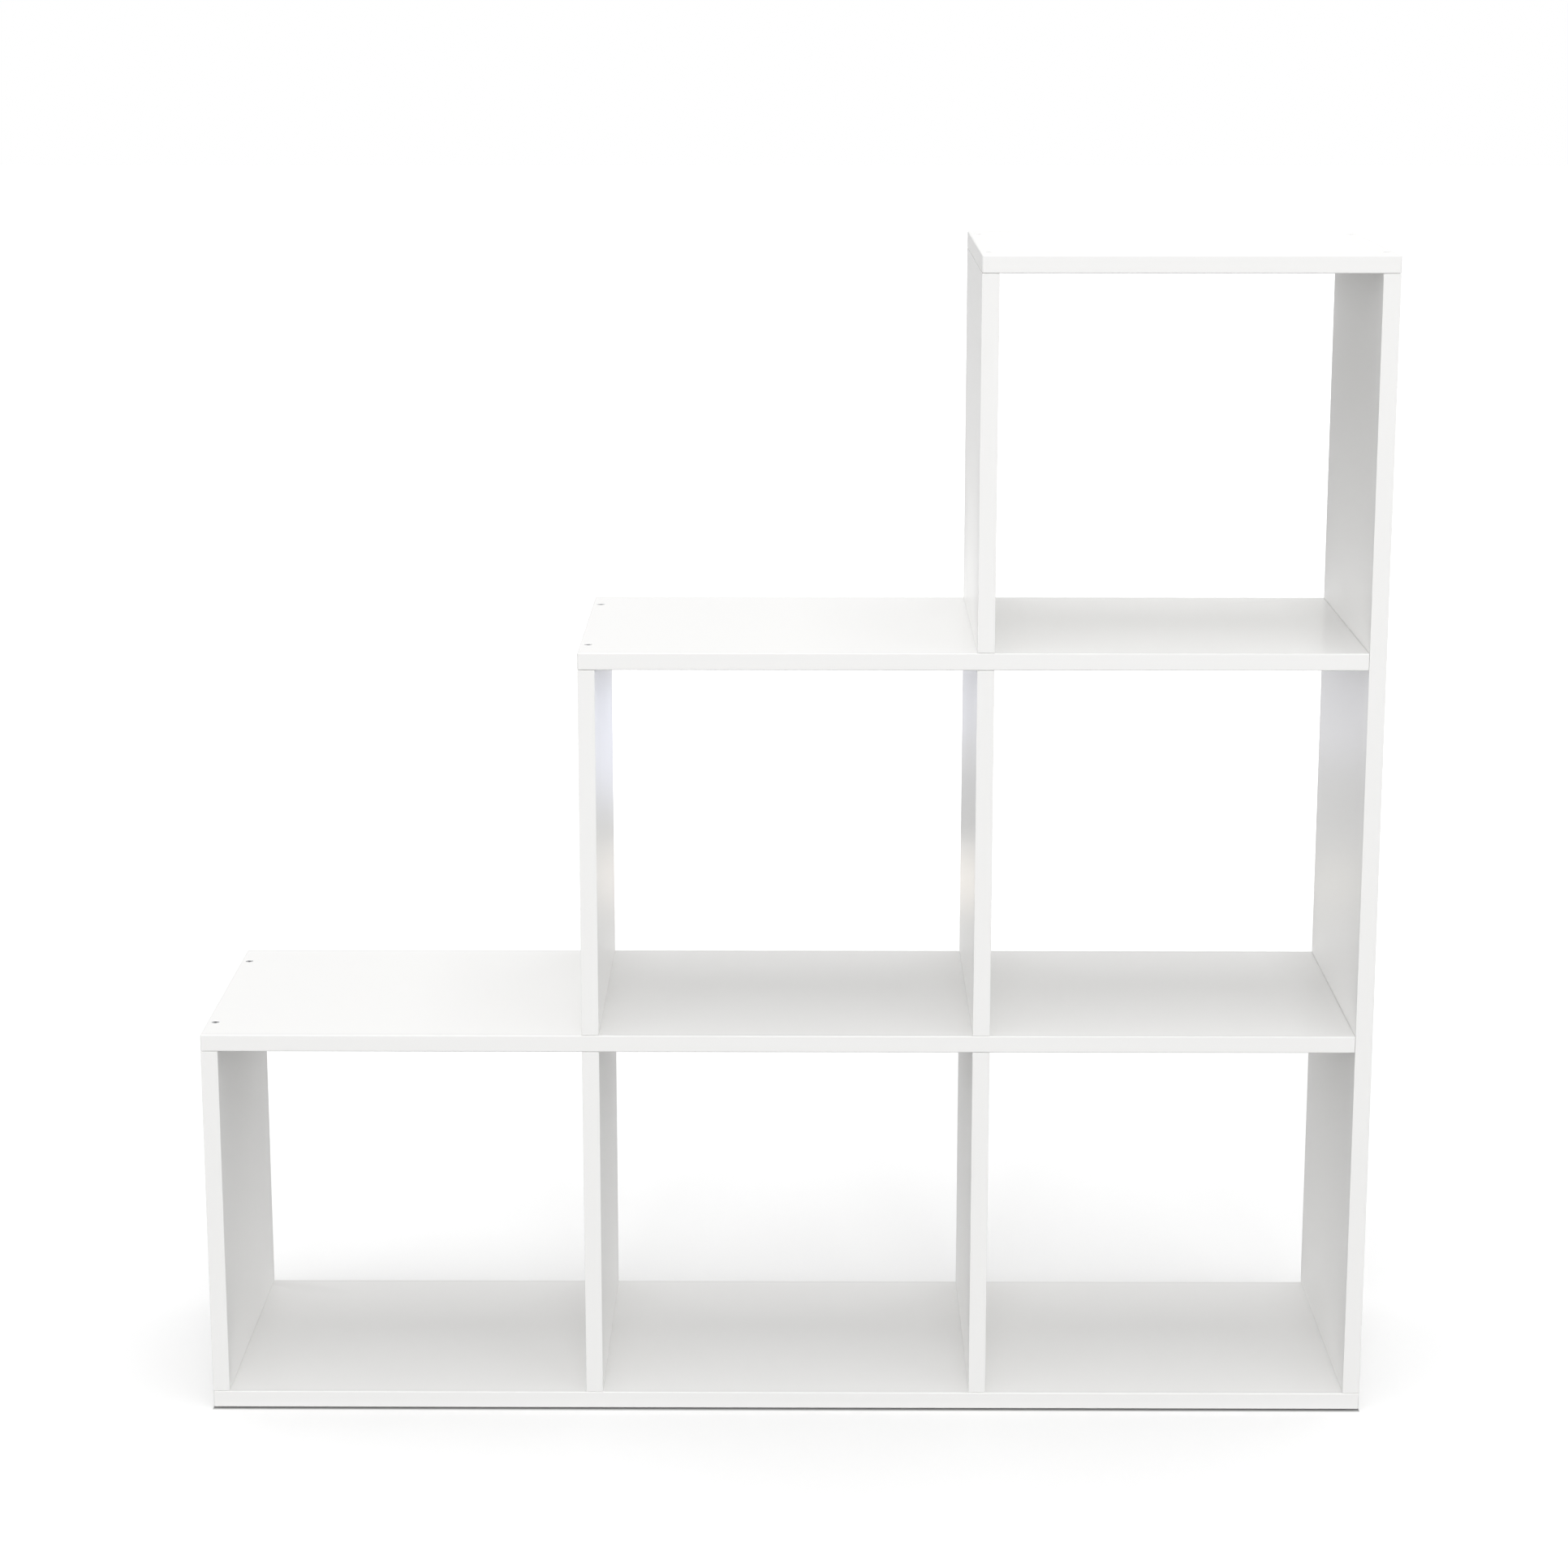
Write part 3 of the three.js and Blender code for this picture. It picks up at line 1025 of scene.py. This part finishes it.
@dataclass
class Dowels:
    """Beech dowels with eight sharp grooves and rounded ends."""

    radius: float = 4 * MM
    length: float = 40 * MM
    chamfer: float = 1 * MM
    grooves: int = 8
    groove_depth: float = 0.4 * MM
    clearance: float = 0.12 * MM
    end_gap: float = 0.5 * MM
    sides: int = 64

    def outline(self) -> TurnedOutline:
        """Draws the dowel.

        Returns:
            Its outline from the lower to the upper end.
        """
        narrow = self.radius - self.chamfer
        half_way = self.radius - 0.3 * self.chamfer
        points: Outline = [
            (0.0, -self.length),
            (narrow, -self.length),
            (half_way, -self.length + 0.4 * self.chamfer),
            (self.radius, -self.length + self.chamfer),
            (self.radius, -self.length / 2),
            (self.radius, -self.chamfer),
            (half_way, -0.4 * self.chamfer),
            (narrow, 0.0),
            (0.0, 0.0),
        ]
        grooved = {ring for ring, (radius, _) in enumerate(points) if radius >= half_way}
        return TurnedOutline(
            points, self.sides, grooved=grooved, grooves=self.grooves, groove_depth=self.groove_depth
        )

    def bore(self) -> TurnedOutline:
        """Draws the dowel's bore.

        Returns:
            Its outline.
        """
        radius = self.radius + self.clearance
        low, high = -self.length - self.end_gap, self.end_gap
        return TurnedOutline([(0.0, low), (radius, low), (radius, high), (0.0, high)], BORE_SIDES)

    def build(self, turning: TurningTree, finish: Material) -> None:
        """Builds the dowels as one piece.

        Args:
            turning: The tree that turns them.
            finish: Their material.
        """
        nodes = nodes_of("dowel_")
        mesh = turning.mesh(self.outline(), places_of(nodes), finish, math.tau / self.grooves)
        handed_over(object_of("crossing_dowels", mesh), nodes)


@dataclass
class Glides:
    """Thin moulded discs under the bottom board, each held by a nail with a domed head."""

    radius: float = 9 * MM
    thickness: float = 1.4 * MM
    edge_round: float = 0.6 * MM
    nail_radius: float = 0.8 * MM
    nail_clearance: float = 0.15 * MM
    nail_length: float = 13.2 * MM
    nail_point: float = 1.5 * MM
    head_radius: float = 2.5 * MM
    head_thickness: float = 0.5 * MM
    head_recess: float = 0.3 * MM
    head_edge: float = 0.5 * MM
    dome: float = 0.18 * MM
    neck: float = 0.1 * MM
    facets: int = 5
    disc_sides: int = 48
    nail_sides: int = 24
    bore_sides: int = 16

    def nail_nodes(self) -> list[str]:
        """Returns the nails' CAD nodes."""
        return nodes_of("glide_", "_nail")

    def disc_nodes(self) -> list[str]:
        """Returns the discs' CAD nodes."""
        nails = self.nail_nodes()
        return [node for node in nodes_of("glide_") if node not in nails]

    def disc(self) -> TurnedOutline:
        """Draws the disc.

        Returns:
            Its closed outline round the countersunk hole, with its floor face at zero.
        """
        hole = self.nail_radius + self.nail_clearance
        sink = self.head_radius + self.nail_clearance
        seat = -self.head_recess - self.head_thickness - self.nail_clearance
        turns = [math.pi / 2 * step / self.facets for step in range(self.facets + 1)]
        rounding = [
            (self.radius - self.edge_round * (1 - math.cos(turn)), -self.edge_round * (1 - math.sin(turn)))
            for turn in turns
        ]
        points: Outline = [(hole, -self.thickness), (self.radius, -self.thickness), *rounding]
        points += [(sink, 0.0), (sink, seat), (hole, seat), (hole, -self.thickness)]
        return TurnedOutline(points, self.disc_sides)

    def nail(self) -> TurnedOutline:
        """Draws the nail.

        Returns:
            Its outline from the point to the domed head.
        """
        under = -self.head_thickness
        points: Outline = [
            (0.0, -self.nail_length),
            (self.nail_radius, -self.nail_length + self.nail_point),
            (self.nail_radius, under - self.neck),
            (self.nail_radius + self.neck, under),
            (self.head_radius, under),
            (self.head_radius, -self.dome),
            (self.head_radius - self.head_edge, -0.3 * self.dome),
            (self.head_radius / 2, -0.05 * self.dome),
            (0.0, 0.0),
        ]
        return TurnedOutline(points, self.nail_sides)

    def bore(self) -> TurnedOutline:
        """Draws the nail's bore in the board.

        Returns:
            Its outline.
        """
        radius = self.nail_radius + self.nail_clearance
        tip = -self.nail_length - self.nail_clearance
        points: Outline = [(0.0, tip), (radius, tip + self.nail_point)]
        points += [(radius, BORE_OVERRUN), (0.0, BORE_OVERRUN)]
        return TurnedOutline(points, self.bore_sides)

    def build(self, turning: TurningTree, plastic: Material, zinc: Material) -> None:
        """Builds the discs and the nails, each as one piece.

        Args:
            turning: The tree that turns them.
            plastic: The discs' material.
            zinc: The nails' material.
        """
        discs, nails = self.disc_nodes(), self.nail_nodes()
        disc_mesh = turning.mesh(self.disc(), places_of(discs), plastic)
        handed_over(object_of("glides", disc_mesh), discs)
        nail_mesh = turning.mesh(self.nail(), places_of(nails), zinc)
        handed_over(object_of("glide_nails", nail_mesh), nails)


# ---------------------------------------------------------------- boards


@dataclass
class Board:
    """One board: particle core, a facing on either side, and rounded bands round its open edges."""

    node: str
    stance: Stance = Stance.UPRIGHT
    sawn: Sawn = Sawn.BOTH
    arris: float = 1 * MM
    arris_facets: int = 6
    edge_break: float = 0.45 * MM
    break_facets: int = 3
    set_back: float = 0.1 * MM
    corner: float = 1.6 * MM
    corner_facets: int = 8
    rim_reach: float = 1 * MM
    crease: float = math.radians(35)
    flat_share: float = 0.99999

    def __post_init__(self) -> None:
        """Reads the board's length, depth, thickness and place from the frame."""
        low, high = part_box(self.node)
        size = high - low
        if self.stance is Stance.FLAT:
            self.length, self.depth, self.thickness = size
            self.place = Matrix.Translation(Vector((low.x, 0.0, low.z)))
        else:
            self.thickness, self.depth, self.length = size
            turned = Matrix(((0, 0, -1), (0, 1, 0), (1, 0, 0))).to_4x4()
            self.place = Matrix.Translation(Vector((high.x, 0.0, low.z))) @ turned

    def _at_sawn_end(self, place: Vector) -> bool:
        """Tells whether a place lies in a sawn end."""
        reach, (start, end) = 1.5 * self.set_back, self.sawn.value
        return (start and place.x < reach) or (end and place.x > self.length - reach)

    def _rounded(self) -> Mesh:
        """Makes the board without its bores.

        Returns:
            Its mesh in its own frame, with its layers' material numbers.
        """
        made = bmesh.new()
        bmesh.ops.create_cube(made, size=1.0)
        start, end = (self.set_back * sawn for sawn in self.sawn.value)
        centre = Vector(((self.length + start - end) / 2, 0.0, self.thickness / 2))
        scale = Matrix.Diagonal((self.length - start - end, self.depth, self.thickness, 1.0))
        bmesh.ops.transform(made, matrix=Matrix.Translation(centre) @ scale, verts=made.verts)

        def round_edges(edges: list[bmesh.types.BMEdge], radius: float, facets: int) -> None:
            """Rounds edges to a radius."""
            shape = {"offset_type": "OFFSET", "profile": 0.5, "affect": "EDGES", "clamp_overlap": False}
            bmesh.ops.bevel(made, geom=edges, offset=radius, segments=facets, **shape)

        def in_sawn_end(edge: bmesh.types.BMEdge) -> bool:
            """Tells whether an edge lies in a sawn end."""
            return all(self._at_sawn_end(vertex.co) for vertex in edge.verts)

        def upright_edge(edge: bmesh.types.BMEdge) -> bool:
            """Tells whether an edge runs through the board's thickness."""
            return abs(edge.verts[0].co.z - edge.verts[1].co.z) > self.thickness / 2

        corners = [edge for edge in made.edges if upright_edge(edge) and not in_sawn_end(edge)]
        round_edges(corners, self.corner, self.corner_facets)
        arrises = [edge for edge in made.edges if not upright_edge(edge) and not in_sawn_end(edge)]
        round_edges(arrises, self.arris, self.arris_facets)
        broken = [edge for edge in made.edges if in_sawn_end(edge)]
        round_edges(broken, self.edge_break, self.break_facets)
        made.normal_update()
        for face in made.faces:
            layer = Layer.BAND
            if abs(face.normal.x) > FACE_ON and self._at_sawn_end(face.calc_center_median()):
                layer = Layer.CORE
            elif abs(face.normal.z) > FACE_ON:
                layer = Layer.FACING
            face.material_index = layer.value
        mesh = bpy.data.meshes.new(self.node)
        made.to_mesh(mesh)
        made.free()
        return mesh

    def _bored(self, mesh: Mesh, cutters: list[Mesh]) -> Mesh:
        """Cuts the bores out of the board.

        Args:
            mesh: The board in its own frame.
            cutters: The bores in the row frame.

        Returns:
            The cut board in its own frame.
        """
        body = object_of("uncut", mesh)
        back = self.place.inverted()
        tools = []
        for number, cutter in enumerate(cutters):
            cutter.transform(back)
            cutter.polygons.foreach_set("material_index", [Layer.CORE.value] * len(cutter.polygons))
            tool = object_of(f"cutter_{number}", cutter)
            tool.hide_render = True
            tools.append(tool)
            cut = body.modifiers.new(f"Bores {number}", "BOOLEAN")
            cut.operation, cut.solver, cut.object = "DIFFERENCE", "EXACT", tool
        cut_mesh = baked(body)
        for tool in tools:
            bpy.data.objects.remove(tool)
        return cut_mesh

    def _measured(self, mesh: Mesh) -> None:
        """Stores the board's own coordinates, the way to its bands and a map whose U runs along each edge.

        Args:
            mesh: The board in its own frame.
        """
        places = [vertex.co.copy() for vertex in mesh.vertices]
        own = mesh.attributes.new(LOCAL, "FLOAT_VECTOR", "POINT")
        own.data.foreach_set("vector", [number for place in places for number in place])
        rim = mesh.attributes.new(RIM, "FLOAT", "POINT")
        rim.data.foreach_set("value", [self._to_band(place) / self.rim_reach for place in places])
        grain = mesh.uv_layers.new(name=GRAIN_MAP)
        for polygon in mesh.polygons:
            x, y, z = (abs(number) for number in polygon.normal)
            for loop in polygon.loop_indices:
                place = places[mesh.loops[loop].vertex_index]
                if z > max(x, y) and polygon.material_index == Layer.FACING.value:
                    grain.data[loop].uv = (place.x, place.y)
                elif x > y:
                    grain.data[loop].uv = (place.y, place.z)
                else:
                    grain.data[loop].uv = (place.x, place.z)

    def _to_band(self, place: Vector) -> float:
        """Returns how far a place on the facing lies from the nearest band, up to the rim's reach.

        Args:
            place: The place in the board's own frame.

        Returns:
            The way in metres.
        """
        ways = [self.rim_reach, self.depth / 2 - self.arris - abs(place.y)]
        if not self.sawn.value[0]:
            ways.append(place.x - self.arris)
        if not self.sawn.value[1]:
            ways.append(self.length - self.arris - place.x)
        return max(0.0, min(ways))

    def build(self, cutters: list[Mesh], layers: Sequence[Material]) -> Object:
        """Builds the board.

        Args:
            cutters: The bores that run through it, in the row frame.
            layers: The materials of its facing, its band and its core.

        Returns:
            The finished board.
        """
        mesh = self._bored(self._rounded(), cutters)
        mesh.materials.clear()
        for material in layers:
            mesh.materials.append(material)
        self._measured(mesh)
        mesh.transform(self.place)
        self._smoothed(mesh)
        return object_of("board_" + self.node, mesh)

    def _smoothed(self, mesh: Mesh) -> None:
        """Keeps flat faces flat up to their edges, and lets the rounded arrises run smoothly into them.

        Args:
            mesh: The board in the row frame.
        """
        faces = mesh.polygons
        normals = [face.normal.copy() for face in faces]
        flat = [max(abs(number) for number in normal) > self.flat_share for normal in normals]
        round_vertex: dict[int, list[int]] = {}
        for face in faces:
            for vertex in face.vertices:
                round_vertex.setdefault(vertex, []).append(face.index)
        least = math.cos(self.crease)
        bent: list[Vector] = []
        for face in faces:
            own = normals[face.index]
            for loop in face.loop_indices:
                round_it = round_vertex[mesh.loops[loop].vertex_index]
                met = [index for index in round_it if normals[index].dot(own) > least]
                flats = [index for index in met if flat[index]]
                if flat[face.index]:
                    bent.append(own)
                elif flats:
                    bent.append(max((normals[index] for index in flats), key=own.dot))
                else:
                    bent.append(sum((normals[index] for index in met), Vector()).normalized())
        mesh.shade_smooth()
        mesh.normals_split_custom_set(bent)


@dataclass
class Carcase:
    """The eleven boards and the bores that tie them to their fasteners."""

    screws: ConnectorScrews
    dowels: Dowels
    glides: Glides
    boards: tuple[Board, ...] = field(
        default_factory=lambda: (
            Board("bottom_board", Stance.FLAT, Sawn.NEITHER),
            Board("lower_side"),
            Board("lower_divider_left"),
            Board("lower_divider_right"),
            Board("lower_shelf", Stance.FLAT, Sawn.FAR_END),
            Board("middle_side"),
            Board("middle_divider"),
            Board("middle_shelf", Stance.FLAT, Sawn.FAR_END),
            Board("upper_side"),
            Board("top_board", Stance.FLAT, Sawn.NEITHER),
            Board("tall_side"),
        )
    )

    def bores_through(self, board: Board, turning: TurningTree, core: Material) -> list[Mesh]:
        """Returns the bores that a board gets.

        Args:
            board: The board.
            turning: The tree that turns them.
            core: The material that they show.

        Returns:
            One mesh for each kind of fastener that runs into the board.
        """
        low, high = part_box(board.node)

        def meets(node: str) -> bool:
            """Tells whether a fastener runs into the board."""
            from_low, from_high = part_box(node)
            return all(a < d and c < b for a, b, c, d in zip(low, high, from_low, from_high))

        kinds: list[tuple[list[str], Callable[[], TurnedOutline]]] = [
            (nodes_of("screw_"), self.screws.bore),
            (nodes_of("dowel_"), self.dowels.bore),
            (self.glides.nail_nodes(), self.glides.bore),
        ]
        met = [([node for node in nodes if meets(node)], bore) for nodes, bore in kinds]
        return [turning.mesh(bore(), places_of(nodes), core) for nodes, bore in met if nodes]

    def build(self, turning: TurningTree, layers: Sequence[Material]) -> None:
        """Builds all boards.

        Args:
            turning: The tree that turns their bores.
            layers: The materials of facing, band and core.
        """
        for board in self.boards:
            piece = board.build(self.bores_through(board, turning, layers[Layer.CORE.value]), layers)
            handed_over(piece, [board.node])


# ---------------------------------------------------------------- studio


@dataclass(frozen=True)
class Softbox:
    """A square lamp with a wide soft face, aimed at a point."""

    name: str
    place: Triple
    aim: Triple
    side: float
    strength: float

    def build(self) -> None:
        """Adds the lamp. Its strength is the radiance of its face, where 1 is white."""
        lamp = bpy.data.lights.new(self.name, "AREA")
        lamp.shape, lamp.size = "SQUARE", self.side
        lamp.energy = self.strength * math.pi * self.side**2
        holder = bpy.data.objects.new(self.name, lamp)
        holder.location = self.place
        way = Vector(self.aim) - Vector(self.place)
        holder.rotation_euler = way.to_track_quat("-Z", "Y").to_euler()
        holder.visible_camera = False
        bpy.context.scene.collection.objects.link(holder)


@dataclass(frozen=True)
class PaintedReflection:
    """A soft oval patch behind the unit that glows or darkens, and shows only as a painted reflection on the
    glossy faces.
    """

    name: str
    place: Triple
    width: float
    height: float
    light: Rgb = (0.0, 0.0, 0.0)
    shade: float = 0.0
    core: float = 0.3

    def build(self) -> None:
        """Adds the patch, whose light is the painted glint that it adds to reflections and whose shade is the
        painted shade that it takes away from them.
        """
        material = bpy.data.materials.new(self.name)
        tree = Tree(emptied(material))
        ways = tree.axes(tree.add("ShaderNodeTexCoord").outputs["Object"])
        halves = (self.width / 2, 0.0, self.height / 2)
        shares = [
            tree.math("DIVIDE", tree.math("SUBTRACT", ways[axis], self.place[axis]), halves[axis])
            for axis in (0, 2)
        ]
        fall = tree.spread(tree.radius(*shares), self.core, 1.0, 1.0, 0.0)
        fall.node.interpolation_type = "SMOOTHSTEP"
        # Painted shade in reflections: the patch lets less of what lies behind it through.
        left = tree.math("SUBTRACT", 1.0, tree.math("MULTIPLY", fall, self.shade))
        behind = tree.out("ShaderNodeBsdfTransparent", {0: tree.grey(left)})
        # Painted glint: the patch glows although it is no lamp, and only glossy rays see it.
        glow = tree.out("ShaderNodeEmission", {"Color": rgba(self.light), "Strength": fall})
        both = tree.out("ShaderNodeAddShader", {0: behind, 1: glow})
        tree.add("ShaderNodeOutputMaterial", {"Surface": both})
        mesh = bpy.data.meshes.new(self.name)
        x, y, z = self.place
        corners = [(x + a * halves[0], y, z + b * halves[2]) for a, b in ((-1, -1), (1, -1), (1, 1), (-1, 1))]
        mesh.from_pydata(corners, [], [(0, 1, 2, 3)])
        mesh.materials.append(material)
        patch = object_of(self.name, mesh)
        patch.visible_camera = patch.visible_diffuse = False
        patch.visible_transmission = patch.visible_shadow = False


class Wall(Enum):
    """The sides that the surround lights from: an axis, the way along it and the radiance."""

    FRONT = (1, -1.0, 1.76)
    BACK = (1, 1.0, 1.67)
    LEFT = (0, -1.0, 1.32)
    RIGHT = (0, 1.0, 1.55)


@dataclass
class Studio:
    """A white floor that keeps the shadow and has a painted contact shadow round the unit, a white surround,
    soft lamps and painted reflection patches.
    """

    floor_side: float = 40.0
    near_bounce: float = 0.14
    far_bounce: float = 0.1
    bounce_reach: Span = (0.6, 1.8)
    near_glow: float = 0.09
    far_glow: float = 0.6
    glow_reach: Span = (1.0, 3.0)
    edge_bounce: float = 0.9
    edge_reach: float = 2 * MM
    # Painted contact shadow on the floor: its tone at the unit's edge and how far it fades out.
    painted_shadow_tone: float = 0.3
    painted_shadow_reach: float = 4.5 * MM
    end_ratio: float = 4.0
    weave: float = 60.0
    weave_depth: float = 0.02 * MM
    # Lamps, and patches that paint reflections.
    lights: tuple[Softbox | PaintedReflection, ...] = ()

    @staticmethod
    def _seen(tree: Tree) -> NodeSocket:
        """Adds what tells whether a ray comes from the camera, a gloss or a glass.

        Args:
            tree: The tree.

        Returns:
            One for such a ray, and nought for any other.
        """
        path = tree.add("ShaderNodeLightPath").outputs
        shine = tree.math("MAXIMUM", path["Is Glossy Ray"], path["Is Transmission Ray"])
        return tree.math("MAXIMUM", path["Is Camera Ray"], shine)

    def _floor(self) -> None:
        """Builds the floor, which has a painted contact shadow beside the unit and no glow under it, and
        glows white far from it.
        """
        material = bpy.data.materials.new("studio_floor")
        tree = Tree(emptied(material))
        place = tree.add("ShaderNodeTexCoord").outputs["Object"]
        cloth = tree.bump(tree.noise(place, self.weave, 3.0), self.weave_depth)
        ways = tree.axes(place)
        away = tree.radius(ways[0], ways[1])
        tone = tree.spread(away, *self.bounce_reach, self.near_bounce, self.far_bounce)
        past = [
            tree.math("SUBTRACT", tree.math("ABSOLUTE", ways[axis]), cad_box[1][axis])
            for axis in (0, 1)
        ]
        beyond = tree.math("MAXIMUM", tree.math("MULTIPLY", past[0], self.end_ratio), past[1])
        edge = tree.math("LESS_THAN", beyond, self.edge_reach)
        tone = tree.math("MAXIMUM", tone, tree.math("MULTIPLY", edge, self.edge_bounce))
        plain = tree.out("ShaderNodeBsdfDiffuse", {"Color": tree.grey(tone), "Normal": cloth})
        # Painted contact shadow: the seen floor is darkened at the unit's edge and fades to white over the
        # reach.
        painted_contact_shadow = tree.spread(beyond, 0.0, self.painted_shadow_reach, self.painted_shadow_tone, 1.0)
        white = tree.out("ShaderNodeBsdfDiffuse", {"Color": tree.grey(painted_contact_shadow)})
        strength = tree.spread(away, *self.glow_reach, self.near_glow, self.far_glow)
        strength.node.interpolation_type = "SMOOTHSTEP"
        # The glow is left out under the unit, which paints shade on the floor beneath it.
        outside = tree.math("GREATER_THAN", beyond, 0.0)
        glow = tree.out("ShaderNodeEmission", {"Strength": tree.math("MULTIPLY", strength, outside)})
        bright = tree.out("ShaderNodeAddShader", {0: white, 1: glow})
        shown = tree.out("ShaderNodeMixShader", {0: self._seen(tree), 1: plain, 2: bright})
        tree.add("ShaderNodeOutputMaterial", {"Surface": shown})
        made = bmesh.new()
        bmesh.ops.create_grid(made, x_segments=8, y_segments=8, size=self.floor_side / 2)
        mesh = bpy.data.meshes.new("studio_floor")
        made.to_mesh(mesh)
        made.free()
        mesh.materials.append(material)
        object_of("studio_floor", mesh)

    def _surround(self) -> None:
        """Builds the world, which is white to the camera and lights from the sides."""
        world = bpy.data.worlds.new("studio")
        bpy.context.scene.world = world
        tree = Tree(emptied(world))
        axes = tree.axes(tree.add("ShaderNodeTexCoord").outputs["Generated"])
        light: NodeSocket | float = 0.0
        for wall in Wall:
            axis, side, strength = wall.value
            towards = tree.math("MAXIMUM", tree.math("MULTIPLY", axes[axis], side), 0.0)
            share = tree.math("MULTIPLY", tree.math("POWER", towards, 2.0), strength)
            light = tree.math("ADD", light, share)
        lit = tree.out("ShaderNodeBackground", {"Strength": light})
        white = tree.out("ShaderNodeBackground", {"Color": rgba((1.0, 1.0, 1.0)), "Strength": 1.0})
        mixed = tree.out("ShaderNodeMixShader", {0: self._seen(tree), 1: lit, 2: white})
        tree.add("ShaderNodeOutputWorld", {"Surface": mixed})

    def build(self) -> None:
        """Builds the floor, the surround, the lamps and the painted reflection patches."""
        self._floor()
        self._surround()
        for light in self.lights:
            light.build()
        bpy.context.scene.view_settings.view_transform = "Standard"


@dataclass
class Viewpoint:
    """The camera as the photograph's straight edges place it."""

    place: Triple = (0.015538, -3.166103, 1.270705)
    lens: float = 82.4823
    sensor: float = 36.0
    pitch: float = math.radians(12.9014)
    yaw: float = math.radians(0.32296)

    def build(self) -> None:
        """Adds the camera and makes it the scene's own."""
        camera = bpy.data.cameras.new("viewpoint")
        camera.lens, camera.sensor_width = self.lens, self.sensor
        holder = bpy.data.objects.new("viewpoint", camera)
        holder.location = self.place
        holder.rotation_euler = (math.pi / 2 - self.pitch, 0.0, self.yaw)
        bpy.context.scene.collection.objects.link(holder)
        bpy.context.scene.camera = holder


LIGHTS: tuple[Softbox | PaintedReflection, ...] = (
    Softbox("overhead", (0.0, -0.5, 9.0), (0.0, 0.0, 0.5), 8.0, 1.57),
    Softbox("front", (0.0, -9.0, 2.5), (0.0, 0.0, 0.5), 4.0, 6.2),
    # Painted reflections: cool and warm glints and dark patches that only the glossy faces show.
    PaintedReflection("cool_left", (-0.05, 2.0, 0.16), 0.13, 0.32, (3.15, 3.4, 4.6)),
    PaintedReflection("cool_right", (0.07, 2.0, 0.235), 0.12, 0.256, (1.75, 1.8, 2.3)),
    PaintedReflection("cool_side", (0.19, 2.0, 0.21), 0.14, 0.3, (3.2, 3.2, 3.7)),
    PaintedReflection("dark_right", (0.07, 2.0, 0.055), 0.12, 0.18, shade=0.85),
    PaintedReflection("warm_left", (-0.09, 1.3, 0.127), 0.12, 0.15, (2.4, 2.1, 1.8), core=0.0),
    PaintedReflection("warm_right", (0.1, 1.3, 0.122), 0.12, 0.15, (3.35, 2.95, 2.4), core=0.0),
    PaintedReflection("warm_side", (0.3, 1.3, 0.12), 0.14, 0.16, (1.3, 1.2, 0.9), core=0.0),
    PaintedReflection("dark_high", (0.21, 2.0, 0.56), 0.32, 0.54, shade=1.0, core=0.45),
    PaintedReflection("clear_high", (0.56, 2.0, 1.07), 0.8, 0.2, (1.6, 1.6, 1.5), core=0.5),
)


def main() -> None:
    """Builds the bookshelf, the studio and the camera."""
    logging.basicConfig(level=logging.INFO, format="%(message)s")
    effects = Effects(cloud_group(), pearl_group())
    zinc = ZincPlate().material(effects)
    layers = (WhiteFacing().material(effects), EdgeBand().material(effects), ParticleCore().material(effects))
    turning = TurningTree()
    screws, dowels, glides = ConnectorScrews(), Dowels(), Glides()
    Carcase(screws, dowels, glides).build(turning, layers)
    screws.build(turning, zinc)
    dowels.build(turning, BareBeech().material(effects))
    glides.build(turning, MouldedPlastic().material(effects), zinc)
    Studio(lights=LIGHTS).build()
    Viewpoint().build()


if __name__ == "__main__":
    main()
